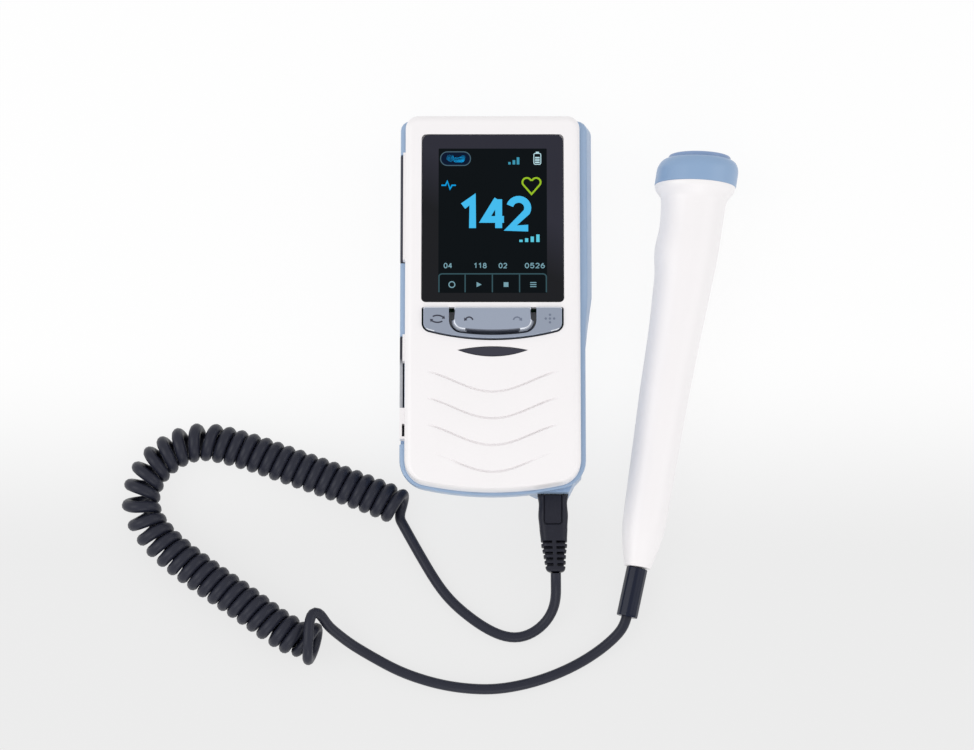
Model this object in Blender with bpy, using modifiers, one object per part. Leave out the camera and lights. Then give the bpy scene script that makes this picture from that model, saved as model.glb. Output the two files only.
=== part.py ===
"""Hand-held fetal doppler: a monitor with its screen and keys, a curly cord and a pencil probe.

The monitor lies on its back with its face up. X runs across it, Y along it towards the screen end and
Z out of its face. The probe lies beside it on the same surface, and the cord runs on that surface from
the plug in the monitor's lower end to the probe's tail. Lengths are in metres.
"""
import math
from collections import namedtuple

import bmesh
import bpy
import numpy as np
from mathutils import Matrix, Vector

MM = 0.001

# Case: the white cover's plan, and the blue shell that stands out beyond it
CASE_T = 30.0 * MM
COVER_W = 59.0 * MM
COVER_L = 128.8 * MM
COVER_MIDDLE_Y = 0.4 * MM
COVER_TOP_R = 4.4 * MM
COVER_BOTTOM_R = 8.0 * MM
CHIN_R = 109.0 * MM
RIM_SIDE = 1.8 * MM
RIM_BOTTOM = 1.1 * MM
SHELL_TOP_R = 3.4 * MM
DRAFT = 3.0 * MM
DRAFT_START = 18.5 * MM
DRAFT_FULL = 5.5 * MM
WALL = 2.0 * MM
SEAM = 0.3 * MM
PARTING_Z = 22.0 * MM
FACE_ROUND = 2.7 * MM
FACE_SKIN = 2.4 * MM
BACK_ROUND_W = 4.0 * MM
BACK_ROUND_H = 7.0 * MM
RIM_ROUND = 1.0 * MM
SWELL = 2.6 * MM
SWELL_FULL_Y = 6.0 * MM
SWELL_END_Y = -15.0 * MM
OVERRUN = 5.0 * MM

# Scalloped steps below the keys
WAVE_COUNT = 4
WAVE_FIRST_Y = -30.7 * MM
WAVE_PITCH = 9.15 * MM
WAVE_RISE = 7.3 * MM
WAVE_CREST_X = 26.0 * MM
WAVE_HALF_W = 24.0 * MM
WAVE_DEPTH = 0.55 * MM
WAVE_RISER = 0.8 * MM
WAVE_CORE_SHARES = (0.7, 0.7, 0.7, 0.35)
WAVE_TAIL_SHARES = (1.0, 1.0, 1.0, 0.25)
WAVE_FADE_SHARE = 0.3
WAVE_LENGTH_SHARE = 0.85
WAVE_STEPS = 28

# Window and display
WINDOW_SIDE = 5.7 * MM
WINDOW_W = COVER_W - 2 * WINDOW_SIDE
WINDOW_L = 57.8 * MM
WINDOW_MARGIN = 7.2 * MM
WINDOW_T = 1.2 * MM
WINDOW_TOP_R = 2.2 * MM
WINDOW_BOTTOM_R = 0.8 * MM
WINDOW_GAP = 0.25 * MM
VIEW_LEDGE = 3.2 * MM
DISPLAY_SIDE = 3.3 * MM
DISPLAY_END = 0.9 * MM
DISPLAY_W = WINDOW_W - 2 * DISPLAY_SIDE
DISPLAY_L = WINDOW_L - 2 * DISPLAY_END
DISPLAY_T = 2.6 * MM
DISPLAY_ROUND = 0.5 * MM

# Keys: a U-shaped outer key round a rocker
KEY_SIDE = 0.1 * MM
KEY_W = WINDOW_W - 2 * KEY_SIDE
KEY_L = 11.1 * MM
KEY_BELOW_WINDOW = 2.05 * MM
KEY_PROUD = 1.0 * MM
KEY_T = 5.0 * MM
KEY_TOP_R = 0.6 * MM
KEY_BOTTOM_R = 2.7 * MM
KEY_CHIN_R = 84.0 * MM
KEY_GAP = 0.35 * MM
KEY_ROUND = 0.5 * MM
KEY_ARM = 9.4 * MM
KEY_BRIDGE = 1.7 * MM
ROCKER_BOTTOM_R = 4.2 * MM
ROCKER_GAP = 0.45 * MM
ROCKER_SKIRT = 1.0 * MM
ROCKER_SKIRT_DROP = 1.4 * MM
KEY_MAT_T = 1.8 * MM
KEY_RIB_W = 1.2 * MM
DOME_R = 1.6 * MM
DOME_DROP = 0.8 * MM
OUTER_DOME_SHARE = 0.405
ROCKER_DOME_SHARE = 0.18

# Indicator lens and its lamp
LENS_W_SHARE = 0.473
LENS_RISE = 1.05 * MM
LENS_SAG = 2.0 * MM
LENS_BELOW_KEY = 3.5 * MM
LENS_T = 1.2 * MM
LENS_GAP = 0.25 * MM
LAMP_R = 1.5 * MM
LAMP_HOLE_R = 1.1 * MM

# Board, screws and the posts that they clamp
BOARD_SIDE = 3.5 * MM
BOARD_TOP = 3.8 * MM
BOARD_BOTTOM = 7.0 * MM
BOARD_T = 1.6 * MM
BOARD_CORNER_R = 2.5 * MM
POST_R = 3.4 * MM
POST_BORE_R = 1.7 * MM
HEAD_BORE_R = 2.6 * MM
HEAD_BORE_Z = 10.0 * MM
SCREW_R = 1.35 * MM
SCREW_HEAD_R = 2.3 * MM
SCREW_HEAD_T = 1.8 * MM
SCREW_BITE = 4.0 * MM
TOP_SCREW_SIDE = 5.6 * MM
TOP_SCREW_END = 7.2 * MM
LOW_SCREW_SIDE = 4.7 * MM
LOW_SCREW_END = 13.5 * MM

# Battery bay in the back, with the sliding door that closes it
PACK_SIDE = 12.5 * MM
PACK_W = COVER_W - 2 * PACK_SIDE
PACK_L = 46.0 * MM
PACK_T = 10.0 * MM
PACK_ROUND = 1.5 * MM
BAY_GAP = 0.4 * MM
BAY_TOP_Y = -2.0 * MM
BAY_RAIL = 4.6 * MM
BAY_ROOF = 1.4 * MM
DOOR_LIP_T = 0.9 * MM
DOOR_T = 1.8 * MM
DOOR_FLANGE = 1.2 * MM
DOOR_LIFT = 0.2 * MM
DOOR_OVERLAP = 2.6 * MM
DOOR_TRAVEL = 10.0 * MM

# Loudspeaker behind slots in the back
SPEAKER_R = 14.0 * MM
SPEAKER_T = 6.0 * MM
SPEAKER_MAGNET_SHARE = 0.55
SPEAKER_RIM_T = 1.8 * MM
SPEAKER_Y = 38.0 * MM
SPEAKER_RING = 1.4 * MM
SLOT_COUNT = 5
SLOT_W = 1.4 * MM
SLOT_L = 18.0 * MM
SLOT_PITCH = 3.4 * MM

# Left rim: two cut-outs, a strip in one, a hinged port cover and a jack in the other
NOTCH_DEPTH = 1.6 * MM
NOTCH_LOW_Z = 6.2 * MM
NOTCH_PAD = 3.0 * MM
UPPER_NOTCH_TOP_Y = 52.7 * MM
UPPER_NOTCH_BOTTOM_Y = 14.8 * MM
LOWER_NOTCH_TOP_Y = -10.4 * MM
LOWER_NOTCH_BOTTOM_Y = -47.5 * MM
UPPER_TAB_SHARES = ((0.0, 1.0),)
LOWER_TAB_SHARES = ((0.0, 0.25), (0.69, 0.84))
TAB_W = 0.8 * MM
TAB_H = 4.0 * MM
STRIP_T = 1.2 * MM
PORT_COVER_L = 26.5 * MM
PORT_COVER_ROUND = 0.3 * MM
PORT_Z = 17.3 * MM
EARPHONE_Y = -15.4 * MM
EARPHONE_R = 3.0 * MM
JACK_BORE_R = 1.75 * MM
JACK_L = 11.0 * MM
CHARGING_Y = -28.4 * MM
CHARGING_W = 8.4 * MM
CHARGING_H = 3.4 * MM
CHARGING_L = 7.0 * MM
CHARGING_WALL = 0.5 * MM
LINE_OUT_Y = -44.0 * MM
LINE_OUT_R = 2.2 * MM
LINE_OUT_BORE_R = 1.2 * MM

# Socket boss and the plug that enters it
PLUG_SIDE = 9.2 * MM
PLUG_X = COVER_W / 2 - PLUG_SIDE
PLUG_Z = 12.0 * MM
BOSS_SET = 0.85 * MM
BOSS_W = 10.6 * MM
BOSS_H = 14.0 * MM
BOSS_FLANK_W = 4.4 * MM
BOSS_FLANK_L = 6.6 * MM
BOSS_KNEE_SHARE = 0.64
SHELL_W = 7.0 * MM
SHELL_H = 3.2 * MM
SHELL_L = 8.0 * MM
SHELL_ROOT = 2.0 * MM
SHELL_WALL = 0.5 * MM
SOCKET_WALL = 1.1 * MM
SOCKET_END = 1.5 * MM
PLUG_W = 10.3 * MM
PLUG_T = 7.6 * MM
PLUG_L = 25.8 * MM
PLUG_LEAN = 0.9 * MM
PLUG_STATION_SHARES = ((0.0, 0.98, 0.96), (0.06, 0.96, 0.95), (0.17, 0.88, 0.91), (0.29, 0.95, 0.95),
                       (0.45, 0.91, 0.92), (0.58, 0.82, 0.87), (0.62, 0.79, 0.85), (0.93, 0.62, 0.71),
                       (0.98, 0.55, 0.63), (1.0, 0.44, 0.53))
PLUG_CORNER_SHARE = 0.34
PANEL_W = 6.1 * MM
PANEL_L = 9.9 * MM
PANEL_DEPTH = 0.4 * MM
RELIEF_SLITS = 5
RELIEF_FIRST_SHARE = 0.64
RELIEF_PITCH = 1.95 * MM
RELIEF_SLIT = 0.9 * MM
RELIEF_SPINE = 1.5 * MM
RELIEF_WEB = 2.4 * MM
RELIEF_NOTCH = 0.45 * MM

# Cord
CORD_D = 3.5 * MM
CORD_SPACING = 5.0 * MM
CURL_MEAN_R = 4.55 * MM
CURL_PITCH = 4.0 * MM
CURL_POINTS = 9
LAST_CURL_SHARE = 0.25
LEAST_CORD_GAP = 0.4 * MM

# Probe: a turned handle that bows and swells a little on its left, and a wide head at a slant
PROBE_TAIL_X = 48.8 * MM
PROBE_TAIL_Y = -86.8 * MM
PROBE_TURN = math.radians(9.1)
HANDLE_L = 131.8 * MM
HANDLE_STATION_SHARES = (
    (0.0, 0.332), (0.015, 0.357), (0.046, 0.426), (0.076, 0.487), (0.099, 0.516), (0.121, 0.531), (0.182, 0.545),
    (0.288, 0.567), (0.425, 0.599), (0.554, 0.632), (0.622, 0.65), (0.69, 0.686), (0.751, 0.713), (0.785, 0.736),
    (0.827, 0.755), (0.861, 0.763), (0.895, 0.769), (0.941, 0.787), (0.965, 0.809), (0.976, 0.859),
    (0.985, 0.924), (0.992, 0.968), (1.0, 0.986))
HANDLE_WALL = 1.8 * MM
HANDLE_SPLIT = 0.15 * MM
BOW = 0.5 * MM
BOW_LOW_SHARE = 0.455
THUMB_REST = 0.7 * MM
THUMB_REST_SHARE = 0.82
THUMB_REST_HALF_SHARE = 0.07
HEAD_SLANT_SHARE = 0.098
SLANT_LOW_SHARE = 0.895
HEAD_R = 13.85 * MM
HEAD_L = 9.8 * MM
HEAD_ROUND_W = 2.4 * MM
HEAD_ROUND_H = 4.3 * MM
HEAD_WALL = 2.0 * MM
HEAD_LEDGE = 0.9 * MM
FACE_R = 10.9 * MM
FACE_PROUD = 1.6 * MM
FACE_T = 3.0 * MM
FACE_DOME = 0.35 * MM
CRYSTAL_R = 8.6 * MM
CRYSTAL_T = 1.0 * MM
CRYSTAL_SPLIT = 0.8 * MM
BACKING_T = 2.5 * MM
PROBE_BOARD_L = 62.0 * MM
PROBE_BOARD_T = 1.2 * MM
PROBE_BOARD_LOW = 40.0 * MM
RELIEF_R = 3.55 * MM
RELIEF_L = 16.8 * MM
RELIEF_ROUND = 0.6 * MM
RELIEF_ROOT = 0.3 * MM
RELIEF_LEAN = math.radians(3.2)

# Smoothness of turned shapes and corners
TURN_STEPS = 32
SMALL_STEPS = 16
CORNER_STEPS = 4
SIDE_STEPS = 12

# Route of the lead from the plug to the curly cord, of its spine, and of the tail to the probe
LEAD_ROUTE = ((21.1, -94.1, 10.8), (21.3, -97.4, 7.6), (20.3, -101.4, 4.8), (17.5, -105.6, 2.9),
              (12.3, -109.3, 1.9), (7.1, -110.4, 1.75), (1.7, -109.0, 1.75), (-3.8, -106.0, 1.75),
              (-9.2, -102.0, 1.75), (-14.7, -97.0, 1.75), (-19.2, -91.0, 1.75), (-23.1, -84.5, 1.75),
              (-26.6, -78.4, 1.75))
LEAD_END = (-29.3, -73.5, 1.75)
SPINE_ROUTE = ((-31.1, -66.5), (-35.8, -64.4), (-44.9, -60.8), (-57.0, -56.3), (-69.3, -51.9), (-80.2, -48.0),
               (-85.5, -46.4), (-91.5, -44.8), (-96.9, -43.9), (-101.7, -44.3), (-105.7, -45.6), (-109.6, -47.8),
               (-113.7, -51.2), (-116.8, -55.6), (-118.6, -60.7), (-118.9, -65.8), (-117.2, -70.8),
               (-114.6, -74.8), (-111.6, -78.3), (-108.4, -81.3), (-105.1, -84.0), (-101.7, -86.6),
               (-94.7, -91.6), (-87.2, -96.7), (-80.5, -101.4), (-73.8, -106.3), (-69.6, -108.9), (-64.0, -112.2))
LAST_CURL_ROUTE = ((-65.0, -115.5, 9.0), (-62.6, -112.8, 10.0), (-60.4, -109.6, 8.6), (-59.2, -107.4, 6.0),
                   (-58.9, -107.6, 3.6), (-59.2, -109.8, 2.1), (-59.8, -112.7, 1.8), (-60.6, -115.3, 2.6),
                   (-61.5, -117.9, 4.8), (-62.0, -119.0, 7.8), (-62.0, -118.5, 11.2), (-61.8, -116.1, 13.6),
                   (-61.6, -112.7, 14.5), (-61.4, -109.0, 14.8), (-61.3, -106.0, 14.6), (-60.8, -103.7, 13.8),
                   (-59.4, -103.1, 12.6), (-57.3, -104.8, 10.6))
TAIL_START = (-53.8, -108.1, 7.0)
TAIL_ROUTE = ((-48.3, -112.1, 3.5), (-41.0, -116.3, 1.75), (-31.2, -121.5, 1.75), (-20.4, -125.2, 1.75),
              (-10.3, -127.1, 1.75), (0.8, -127.5, 1.75), (11.9, -125.6, 1.75), (21.3, -122.5, 1.75),
              (29.1, -118.8, 1.75), (34.8, -115.3, 2.3), (39.2, -112.0, 3.3))

Plan = namedtuple("Plan", "half_w top bottom top_r bottom_r chin_r")
COVER_TOP_Y = COVER_MIDDLE_Y + COVER_L / 2
COVER_BOTTOM_Y = COVER_MIDDLE_Y - COVER_L / 2
BOSS_FACE_Y = COVER_BOTTOM_Y + BOSS_SET
COVER_PLAN = Plan(COVER_W / 2, COVER_TOP_Y, COVER_BOTTOM_Y, COVER_TOP_R, COVER_BOTTOM_R, CHIN_R)
SHELL_X = COVER_W / 2 + RIM_SIDE
SHELL_PLAN = Plan(SHELL_X, COVER_TOP_Y, COVER_BOTTOM_Y - RIM_BOTTOM, SHELL_TOP_R, COVER_BOTTOM_R + RIM_SIDE,
                  CHIN_R + RIM_BOTTOM)
WINDOW_TOP_Y = COVER_TOP_Y - WINDOW_MARGIN
WINDOW_BOTTOM_Y = WINDOW_TOP_Y - WINDOW_L
KEY_TOP_Y = WINDOW_BOTTOM_Y - KEY_BELOW_WINDOW
KEY_BOTTOM_Y = KEY_TOP_Y - KEY_L
KEY_LOW_Z = CASE_T + KEY_PROUD - KEY_T
KEY_PLAN = Plan(KEY_W / 2, KEY_TOP_Y, KEY_BOTTOM_Y, KEY_TOP_R, KEY_BOTTOM_R, KEY_CHIN_R)
LENS_W = KEY_W * LENS_W_SHARE
LENS_Y = KEY_BOTTOM_Y - LENS_BELOW_KEY
SKIN_Z = CASE_T - FACE_SKIN
BOARD_LOW_Z = PARTING_Z + SEAM - BOARD_T
TOP_SCREW_X = COVER_W / 2 - TOP_SCREW_SIDE
LOW_SCREW_X = COVER_W / 2 - LOW_SCREW_SIDE
TOP_SCREW_Y = COVER_TOP_Y - TOP_SCREW_END
LOW_SCREW_Y = COVER_BOTTOM_Y + LOW_SCREW_END
SCREW_PLACES = ((-TOP_SCREW_X, TOP_SCREW_Y), (TOP_SCREW_X, TOP_SCREW_Y),
                (-LOW_SCREW_X, LOW_SCREW_Y), (LOW_SCREW_X, LOW_SCREW_Y))
BAY_BOTTOM_Y = BAY_TOP_Y - PACK_L - 2 * BAY_GAP
CURL_OUTER_R = CURL_MEAN_R + CORD_D / 2
NOTCH_FLOOR_X = -SHELL_X + NOTCH_DEPTH
PORT_COVER_TOP_Y = LOWER_NOTCH_TOP_Y - SEAM
HINGE_X = -SHELL_X + STRIP_T / 2
HINGE_Z = NOTCH_LOW_Z + SEAM + STRIP_T / 2
SOCKET_END_Y = BOSS_FACE_Y + SHELL_L + SEAM + SOCKET_END
KEY_HINGE = (0, (KEY_TOP_Y + KEY_BOTTOM_Y) / 2, KEY_LOW_Z)
HANDLE_STATIONS = tuple((along * HANDLE_L, radius * HEAD_R) for along, radius in HANDLE_STATION_SHARES)

PALETTE = {
    "white_plastic": ((0.86, 0.85, 0.86), 0.42, 0.0),
    "blue_plastic": ((0.27, 0.37, 0.52), 0.45, 0.0),
    "smoked_window": ((0.012, 0.013, 0.02), 0.08, 0.0),
    "display_black": ((0.004, 0.006, 0.009), 0.3, 0.0),
    "silver_key": ((0.40, 0.43, 0.52), 0.3, 0.6),
    "dark_rubber": ((0.022, 0.023, 0.033), 0.55, 0.0),
    "cord_rubber": ((0.028, 0.030, 0.042), 0.4, 0.0),
    "board_green": ((0.03, 0.16, 0.07), 0.5, 0.0),
    "silicone": ((0.55, 0.56, 0.58), 0.6, 0.0),
    "steel": ((0.56, 0.57, 0.58), 0.3, 1.0),
    "cell_wrap": ((0.10, 0.16, 0.34), 0.45, 0.0),
    "black_plastic": ((0.015, 0.015, 0.017), 0.45, 0.0),
    "ceramic": ((0.72, 0.66, 0.50), 0.35, 0.0),
    "lamp_resin": ((0.10, 0.45, 0.12), 0.2, 0.0),
}


def clear_scene():
    """Remove every object, so that the file starts empty."""
    for old in list(bpy.data.objects):
        bpy.data.objects.remove(old, do_unlink=True)


def make_collection(name):
    """A new collection under the scene's own."""
    made = bpy.data.collections.new(name)
    bpy.context.scene.collection.children.link(made)
    return made


def make_materials():
    """One Principled material for each finish in the palette."""
    made = {}
    for name, (colour, roughness, metallic) in PALETTE.items():
        material = bpy.data.materials.new(name)
        material.use_nodes = True
        shader = material.node_tree.nodes["Principled BSDF"]
        shader.inputs["Base Color"].default_value = (*colour, 1.0)
        shader.inputs["Roughness"].default_value = roughness
        shader.inputs["Metallic"].default_value = metallic
        made[name] = material
    return made


clear_scene()
PARTS = make_collection("fetal_doppler")
TOOLS = make_collection("cutters")
MATERIALS = make_materials()
ASSEMBLY = bpy.data.objects.new("assembly", None)
PROBE_AXIS = bpy.data.objects.new("probe_axis", None)
CABLE = bpy.data.objects.new("cable", None)
for empty in (ASSEMBLY, PROBE_AXIS, CABLE):
    PARTS.objects.link(empty)
PROBE_AXIS.parent = ASSEMBLY
CABLE.parent = ASSEMBLY
CABLE.location = (PLUG_X, BOSS_FACE_Y, PLUG_Z)


def add(name, mesh, finish=None, parent=ASSEMBLY):
    """An object in the parts collection, or a hidden tool when it has no finish."""
    made = bpy.data.objects.new(name, mesh)
    made.parent = parent
    if parent is CABLE:
        made.matrix_parent_inverse = CABLE.matrix_basis.inverted()
    if finish:
        mesh.materials.append(MATERIALS[finish])
        PARTS.objects.link(made)
    else:
        TOOLS.objects.link(made)
        made.hide_render = True
        made.display_type = "WIRE"
    return made


def mesh_from(bm, name):
    """Close a bmesh into a mesh with its faces pointing out."""
    bmesh.ops.recalc_face_normals(bm, faces=bm.faces)
    mesh = bpy.data.meshes.new(name)
    bm.to_mesh(mesh)
    bm.free()
    return mesh


def baked(source, name):
    """The evaluated mesh of a temporary object, with loose caps welded, and the object removed."""
    depsgraph = bpy.context.evaluated_depsgraph_get()
    mesh = bpy.data.meshes.new_from_object(source.evaluated_get(depsgraph))
    mesh.transform(source.matrix_world)
    mesh.name = name
    bm = bmesh.new()
    bm.from_mesh(mesh)
    bmesh.ops.remove_doubles(bm, verts=bm.verts, dist=SEAM / 1000)
    bmesh.ops.recalc_face_normals(bm, faces=bm.faces)
    bm.to_mesh(mesh)
    bm.free()
    mesh.materials.clear()
    bpy.data.objects.remove(source, do_unlink=True)
    return mesh


def bevelled(made, width, segments=2, angle=math.radians(40)):
    """Round an object's sharp edges."""
    bevel = made.modifiers.new("round", "BEVEL")
    bevel.width = width
    bevel.segments = segments
    bevel.limit_method = "ANGLE"
    bevel.angle_limit = angle
    return made


def smooth(made, angle=math.radians(35)):
    """Smooth shading with sharp edges kept."""
    made.data.shade_smooth()
    made.data.set_sharp_from_angle(angle=angle)
    return made


def pivot(made, place):
    """Put an object's origin on its joint's axis."""
    made.data.transform(Matrix.Translation(-Vector(place)))
    made.location = place
    return made


def join(target, tool):
    """Unite a hidden tool with an object."""
    boolean = target.modifiers.new(tool.name, "BOOLEAN")
    boolean.operation = "UNION"
    boolean.object = tool


def cut(target, tool):
    """Take a hidden tool away from an object."""
    boolean = target.modifiers.new(tool.name, "BOOLEAN")
    boolean.operation = "DIFFERENCE"
    boolean.object = tool


def keep(target, tool):
    """Keep only what an object shares with a hidden tool."""
    boolean = target.modifiers.new(tool.name, "BOOLEAN")
    boolean.operation = "INTERSECT"
    boolean.object = tool


def box(name, low, high, finish=None, parent=ASSEMBLY):
    """A box between two corners."""
    bm = bmesh.new()
    bmesh.ops.create_cube(bm, size=1.0)
    size = [high[axis] - low[axis] for axis in range(3)]
    middle = [(high[axis] + low[axis]) / 2 for axis in range(3)]
    bmesh.ops.scale(bm, vec=size, verts=bm.verts)
    bmesh.ops.translate(bm, vec=middle, verts=bm.verts)
    return add(name, mesh_from(bm, name), finish, parent)


def rod(name, radius, start, end, finish=None, steps=SMALL_STEPS, parent=ASSEMBLY):
    """A cylinder from one point to another."""
    start = Vector(start)
    run = Vector(end) - start
    bm = bmesh.new()
    bmesh.ops.create_cone(bm, cap_ends=True, segments=steps, radius1=radius, radius2=radius, depth=run.length)
    turn = Vector((0, 0, 1)).rotation_difference(run).to_matrix().to_4x4()
    bmesh.ops.transform(bm, matrix=Matrix.Translation(start + run / 2) @ turn, verts=bm.verts)
    return add(name, mesh_from(bm, name), finish, parent)


def plate(name, outline, low, high, finish=None, parent=ASSEMBLY):
    """A flat outline extruded between two heights."""
    curve = bpy.data.curves.new(name, "CURVE")
    curve.dimensions = "2D"
    curve.fill_mode = "BOTH"
    curve.extrude = (high - low) / 2
    spline = curve.splines.new("POLY")
    spline.points.add(len(outline) - 1)
    for point, (x, y) in zip(spline.points, outline):
        point.co = (x, y, 0, 1)
    spline.use_cyclic_u = True
    source = bpy.data.objects.new(name, curve)
    TOOLS.objects.link(source)
    source.location.z = (high + low) / 2
    bpy.context.view_layer.update()
    return add(name, baked(source, name), finish, parent)


def turned(name, profile, finish=None, steps=TURN_STEPS, parent=PROBE_AXIS, closed=False):
    """A profile of (radius, height) points, listed from its top down its outer side, turned about Z."""
    bm = bmesh.new()
    verts = [bm.verts.new((radius, 0, height)) for radius, height in profile]
    for one, other in zip(verts, verts[1:]):
        bm.edges.new((one, other))
    if closed:
        bm.edges.new((verts[-1], verts[0]))
    mesh = bpy.data.meshes.new(name)
    bm.to_mesh(mesh)
    bm.free()
    source = bpy.data.objects.new(name, mesh)
    TOOLS.objects.link(source)
    screw = source.modifiers.new("turn", "SCREW")
    screw.steps = steps
    screw.render_steps = steps
    screw.use_merge_vertices = True
    screw.merge_threshold = SEAM / 30
    bpy.context.view_layer.update()
    return add(name, baked(source, name), finish, parent)


def loft(name, rings, finish=None, parent=ASSEMBLY):
    """A closed skin through rings of as many points each, capped at both ends."""
    bm = bmesh.new()
    rows = [[bm.verts.new(point) for point in ring] for ring in rings]
    for row, upper in zip(rows, rows[1:]):
        for index in range(len(row)):
            after = (index + 1) % len(row)
            bm.faces.new((row[index], row[after], upper[after], upper[index]))
    bm.faces.new(reversed(rows[0]))
    bm.faces.new(rows[-1])
    return add(name, mesh_from(bm, name), finish, parent)


def arc(centre, radius, start, end, steps):
    """Points of an arc, angles in radians."""
    return [(centre[0] + radius * math.cos(start + (end - start) * step / steps),
             centre[1] + radius * math.sin(start + (end - start) * step / steps)) for step in range(steps + 1)]


def plan_points(plan, inset=0.0, side_steps=1, chin_steps=10):
    """Outline with straight sides, two top corners, two bottom corners and a shallow round chin."""
    half_w = plan.half_w - inset
    top = plan.top - inset
    top_r = max(plan.top_r - inset, SEAM)
    bottom_r = max(plan.bottom_r - inset, SEAM)
    chin_r = plan.chin_r - inset
    corner_x = half_w - bottom_r
    chin_y = plan.bottom + inset + chin_r
    lean = math.asin(corner_x / (chin_r - bottom_r))
    corner_y = chin_y - (chin_r - bottom_r) * math.cos(lean)
    quarter = math.pi / 2
    points = arc((corner_x, corner_y), bottom_r, lean - quarter, 0, 2 * CORNER_STEPS)
    low, high = corner_y, top - top_r
    points += [(half_w, low + (high - low) * step / side_steps) for step in range(1, side_steps)]
    points += arc((half_w - top_r, top - top_r), top_r, 0, quarter, CORNER_STEPS)
    points += arc((top_r - half_w, top - top_r), top_r, quarter, 2 * quarter, CORNER_STEPS)
    points += arc((-corner_x, corner_y), bottom_r, 2 * quarter, 3 * quarter - lean, 2 * CORNER_STEPS)
    chin = arc((0, chin_y), chin_r, -quarter - lean, -quarter + lean, chin_steps)
    return points + chin[1:-1]


def rounded_rectangle(low, high, radii, steps=CORNER_STEPS):
    """Outline of a rectangle, with a radius for each corner from the lower right one round."""
    corners = ((high[0], low[1], 1, -1), (high[0], high[1], 1, 1), (low[0], high[1], -1, 1), (low[0], low[1], -1, -1))
    points = []
    for turn, ((x, y, side_x, side_y), radius) in enumerate(zip(corners, radii)):
        start = (turn - 1) * math.pi / 2
        points += arc((x - side_x * radius, y - side_y * radius), radius, start, start + math.pi / 2, steps)
    return points


def ease(share):
    """Smooth step from 0 to 1."""
    share = min(max(share, 0.0), 1.0)
    return share * share * (3 - 2 * share)


def at_height(outline, height):
    """Lift a flat outline to a height."""
    return [(x, y, height) for x, y in outline]


def shell_ring(height, inset):
    """One level of the blue shell, with the palm swell on its right side and a draft at its lower end."""
    level = min(max(height / PARTING_Z, 0.0), 1.0)
    swell = SWELL * math.sin(math.pi * level) ** 0.6
    ring = []
    for x, y in plan_points(SHELL_PLAN, inset, SIDE_STEPS):
        along = ease((y - SWELL_END_Y) / (SWELL_FULL_Y - SWELL_END_Y))
        low = ease((COVER_BOTTOM_Y + DRAFT_START - y) / (DRAFT_START - DRAFT_FULL))
        ring.append((x + max(x, 0.0) / SHELL_PLAN.half_w * swell * along, y + DRAFT * (1 - level) * low, height))
    return ring


def shell_rings(inset, floor, top):
    """Levels of the blue shell from its round back to its rim."""
    rings = []
    for step in range(5):
        turn = math.pi / 2 * step / 4
        height = BACK_ROUND_H * (1 - math.cos(turn))
        if height > floor - SEAM / 10 or floor == 0:
            rings.append(shell_ring(height, inset + BACK_ROUND_W * (1 - math.sin(turn))))
    if floor > 0:
        start = math.acos(1 - floor / BACK_ROUND_H)
        rings.insert(0, shell_ring(floor, inset + BACK_ROUND_W * (1 - math.sin(start))))
    rings.append(shell_ring((BACK_ROUND_H + PARTING_Z) / 2, inset))
    if top > PARTING_Z:
        rings += [shell_ring(PARTING_Z, inset), shell_ring(top, inset)]
    else:
        rings += [shell_ring(PARTING_Z - RIM_ROUND, inset), shell_ring(PARTING_Z - RIM_ROUND / 4, inset + RIM_ROUND / 4),
                  shell_ring(PARTING_Z, inset + RIM_ROUND)]
    return rings


def door_top_y():
    """Top of the door's recess in the back."""
    return BAY_TOP_Y + DOOR_OVERLAP


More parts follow.
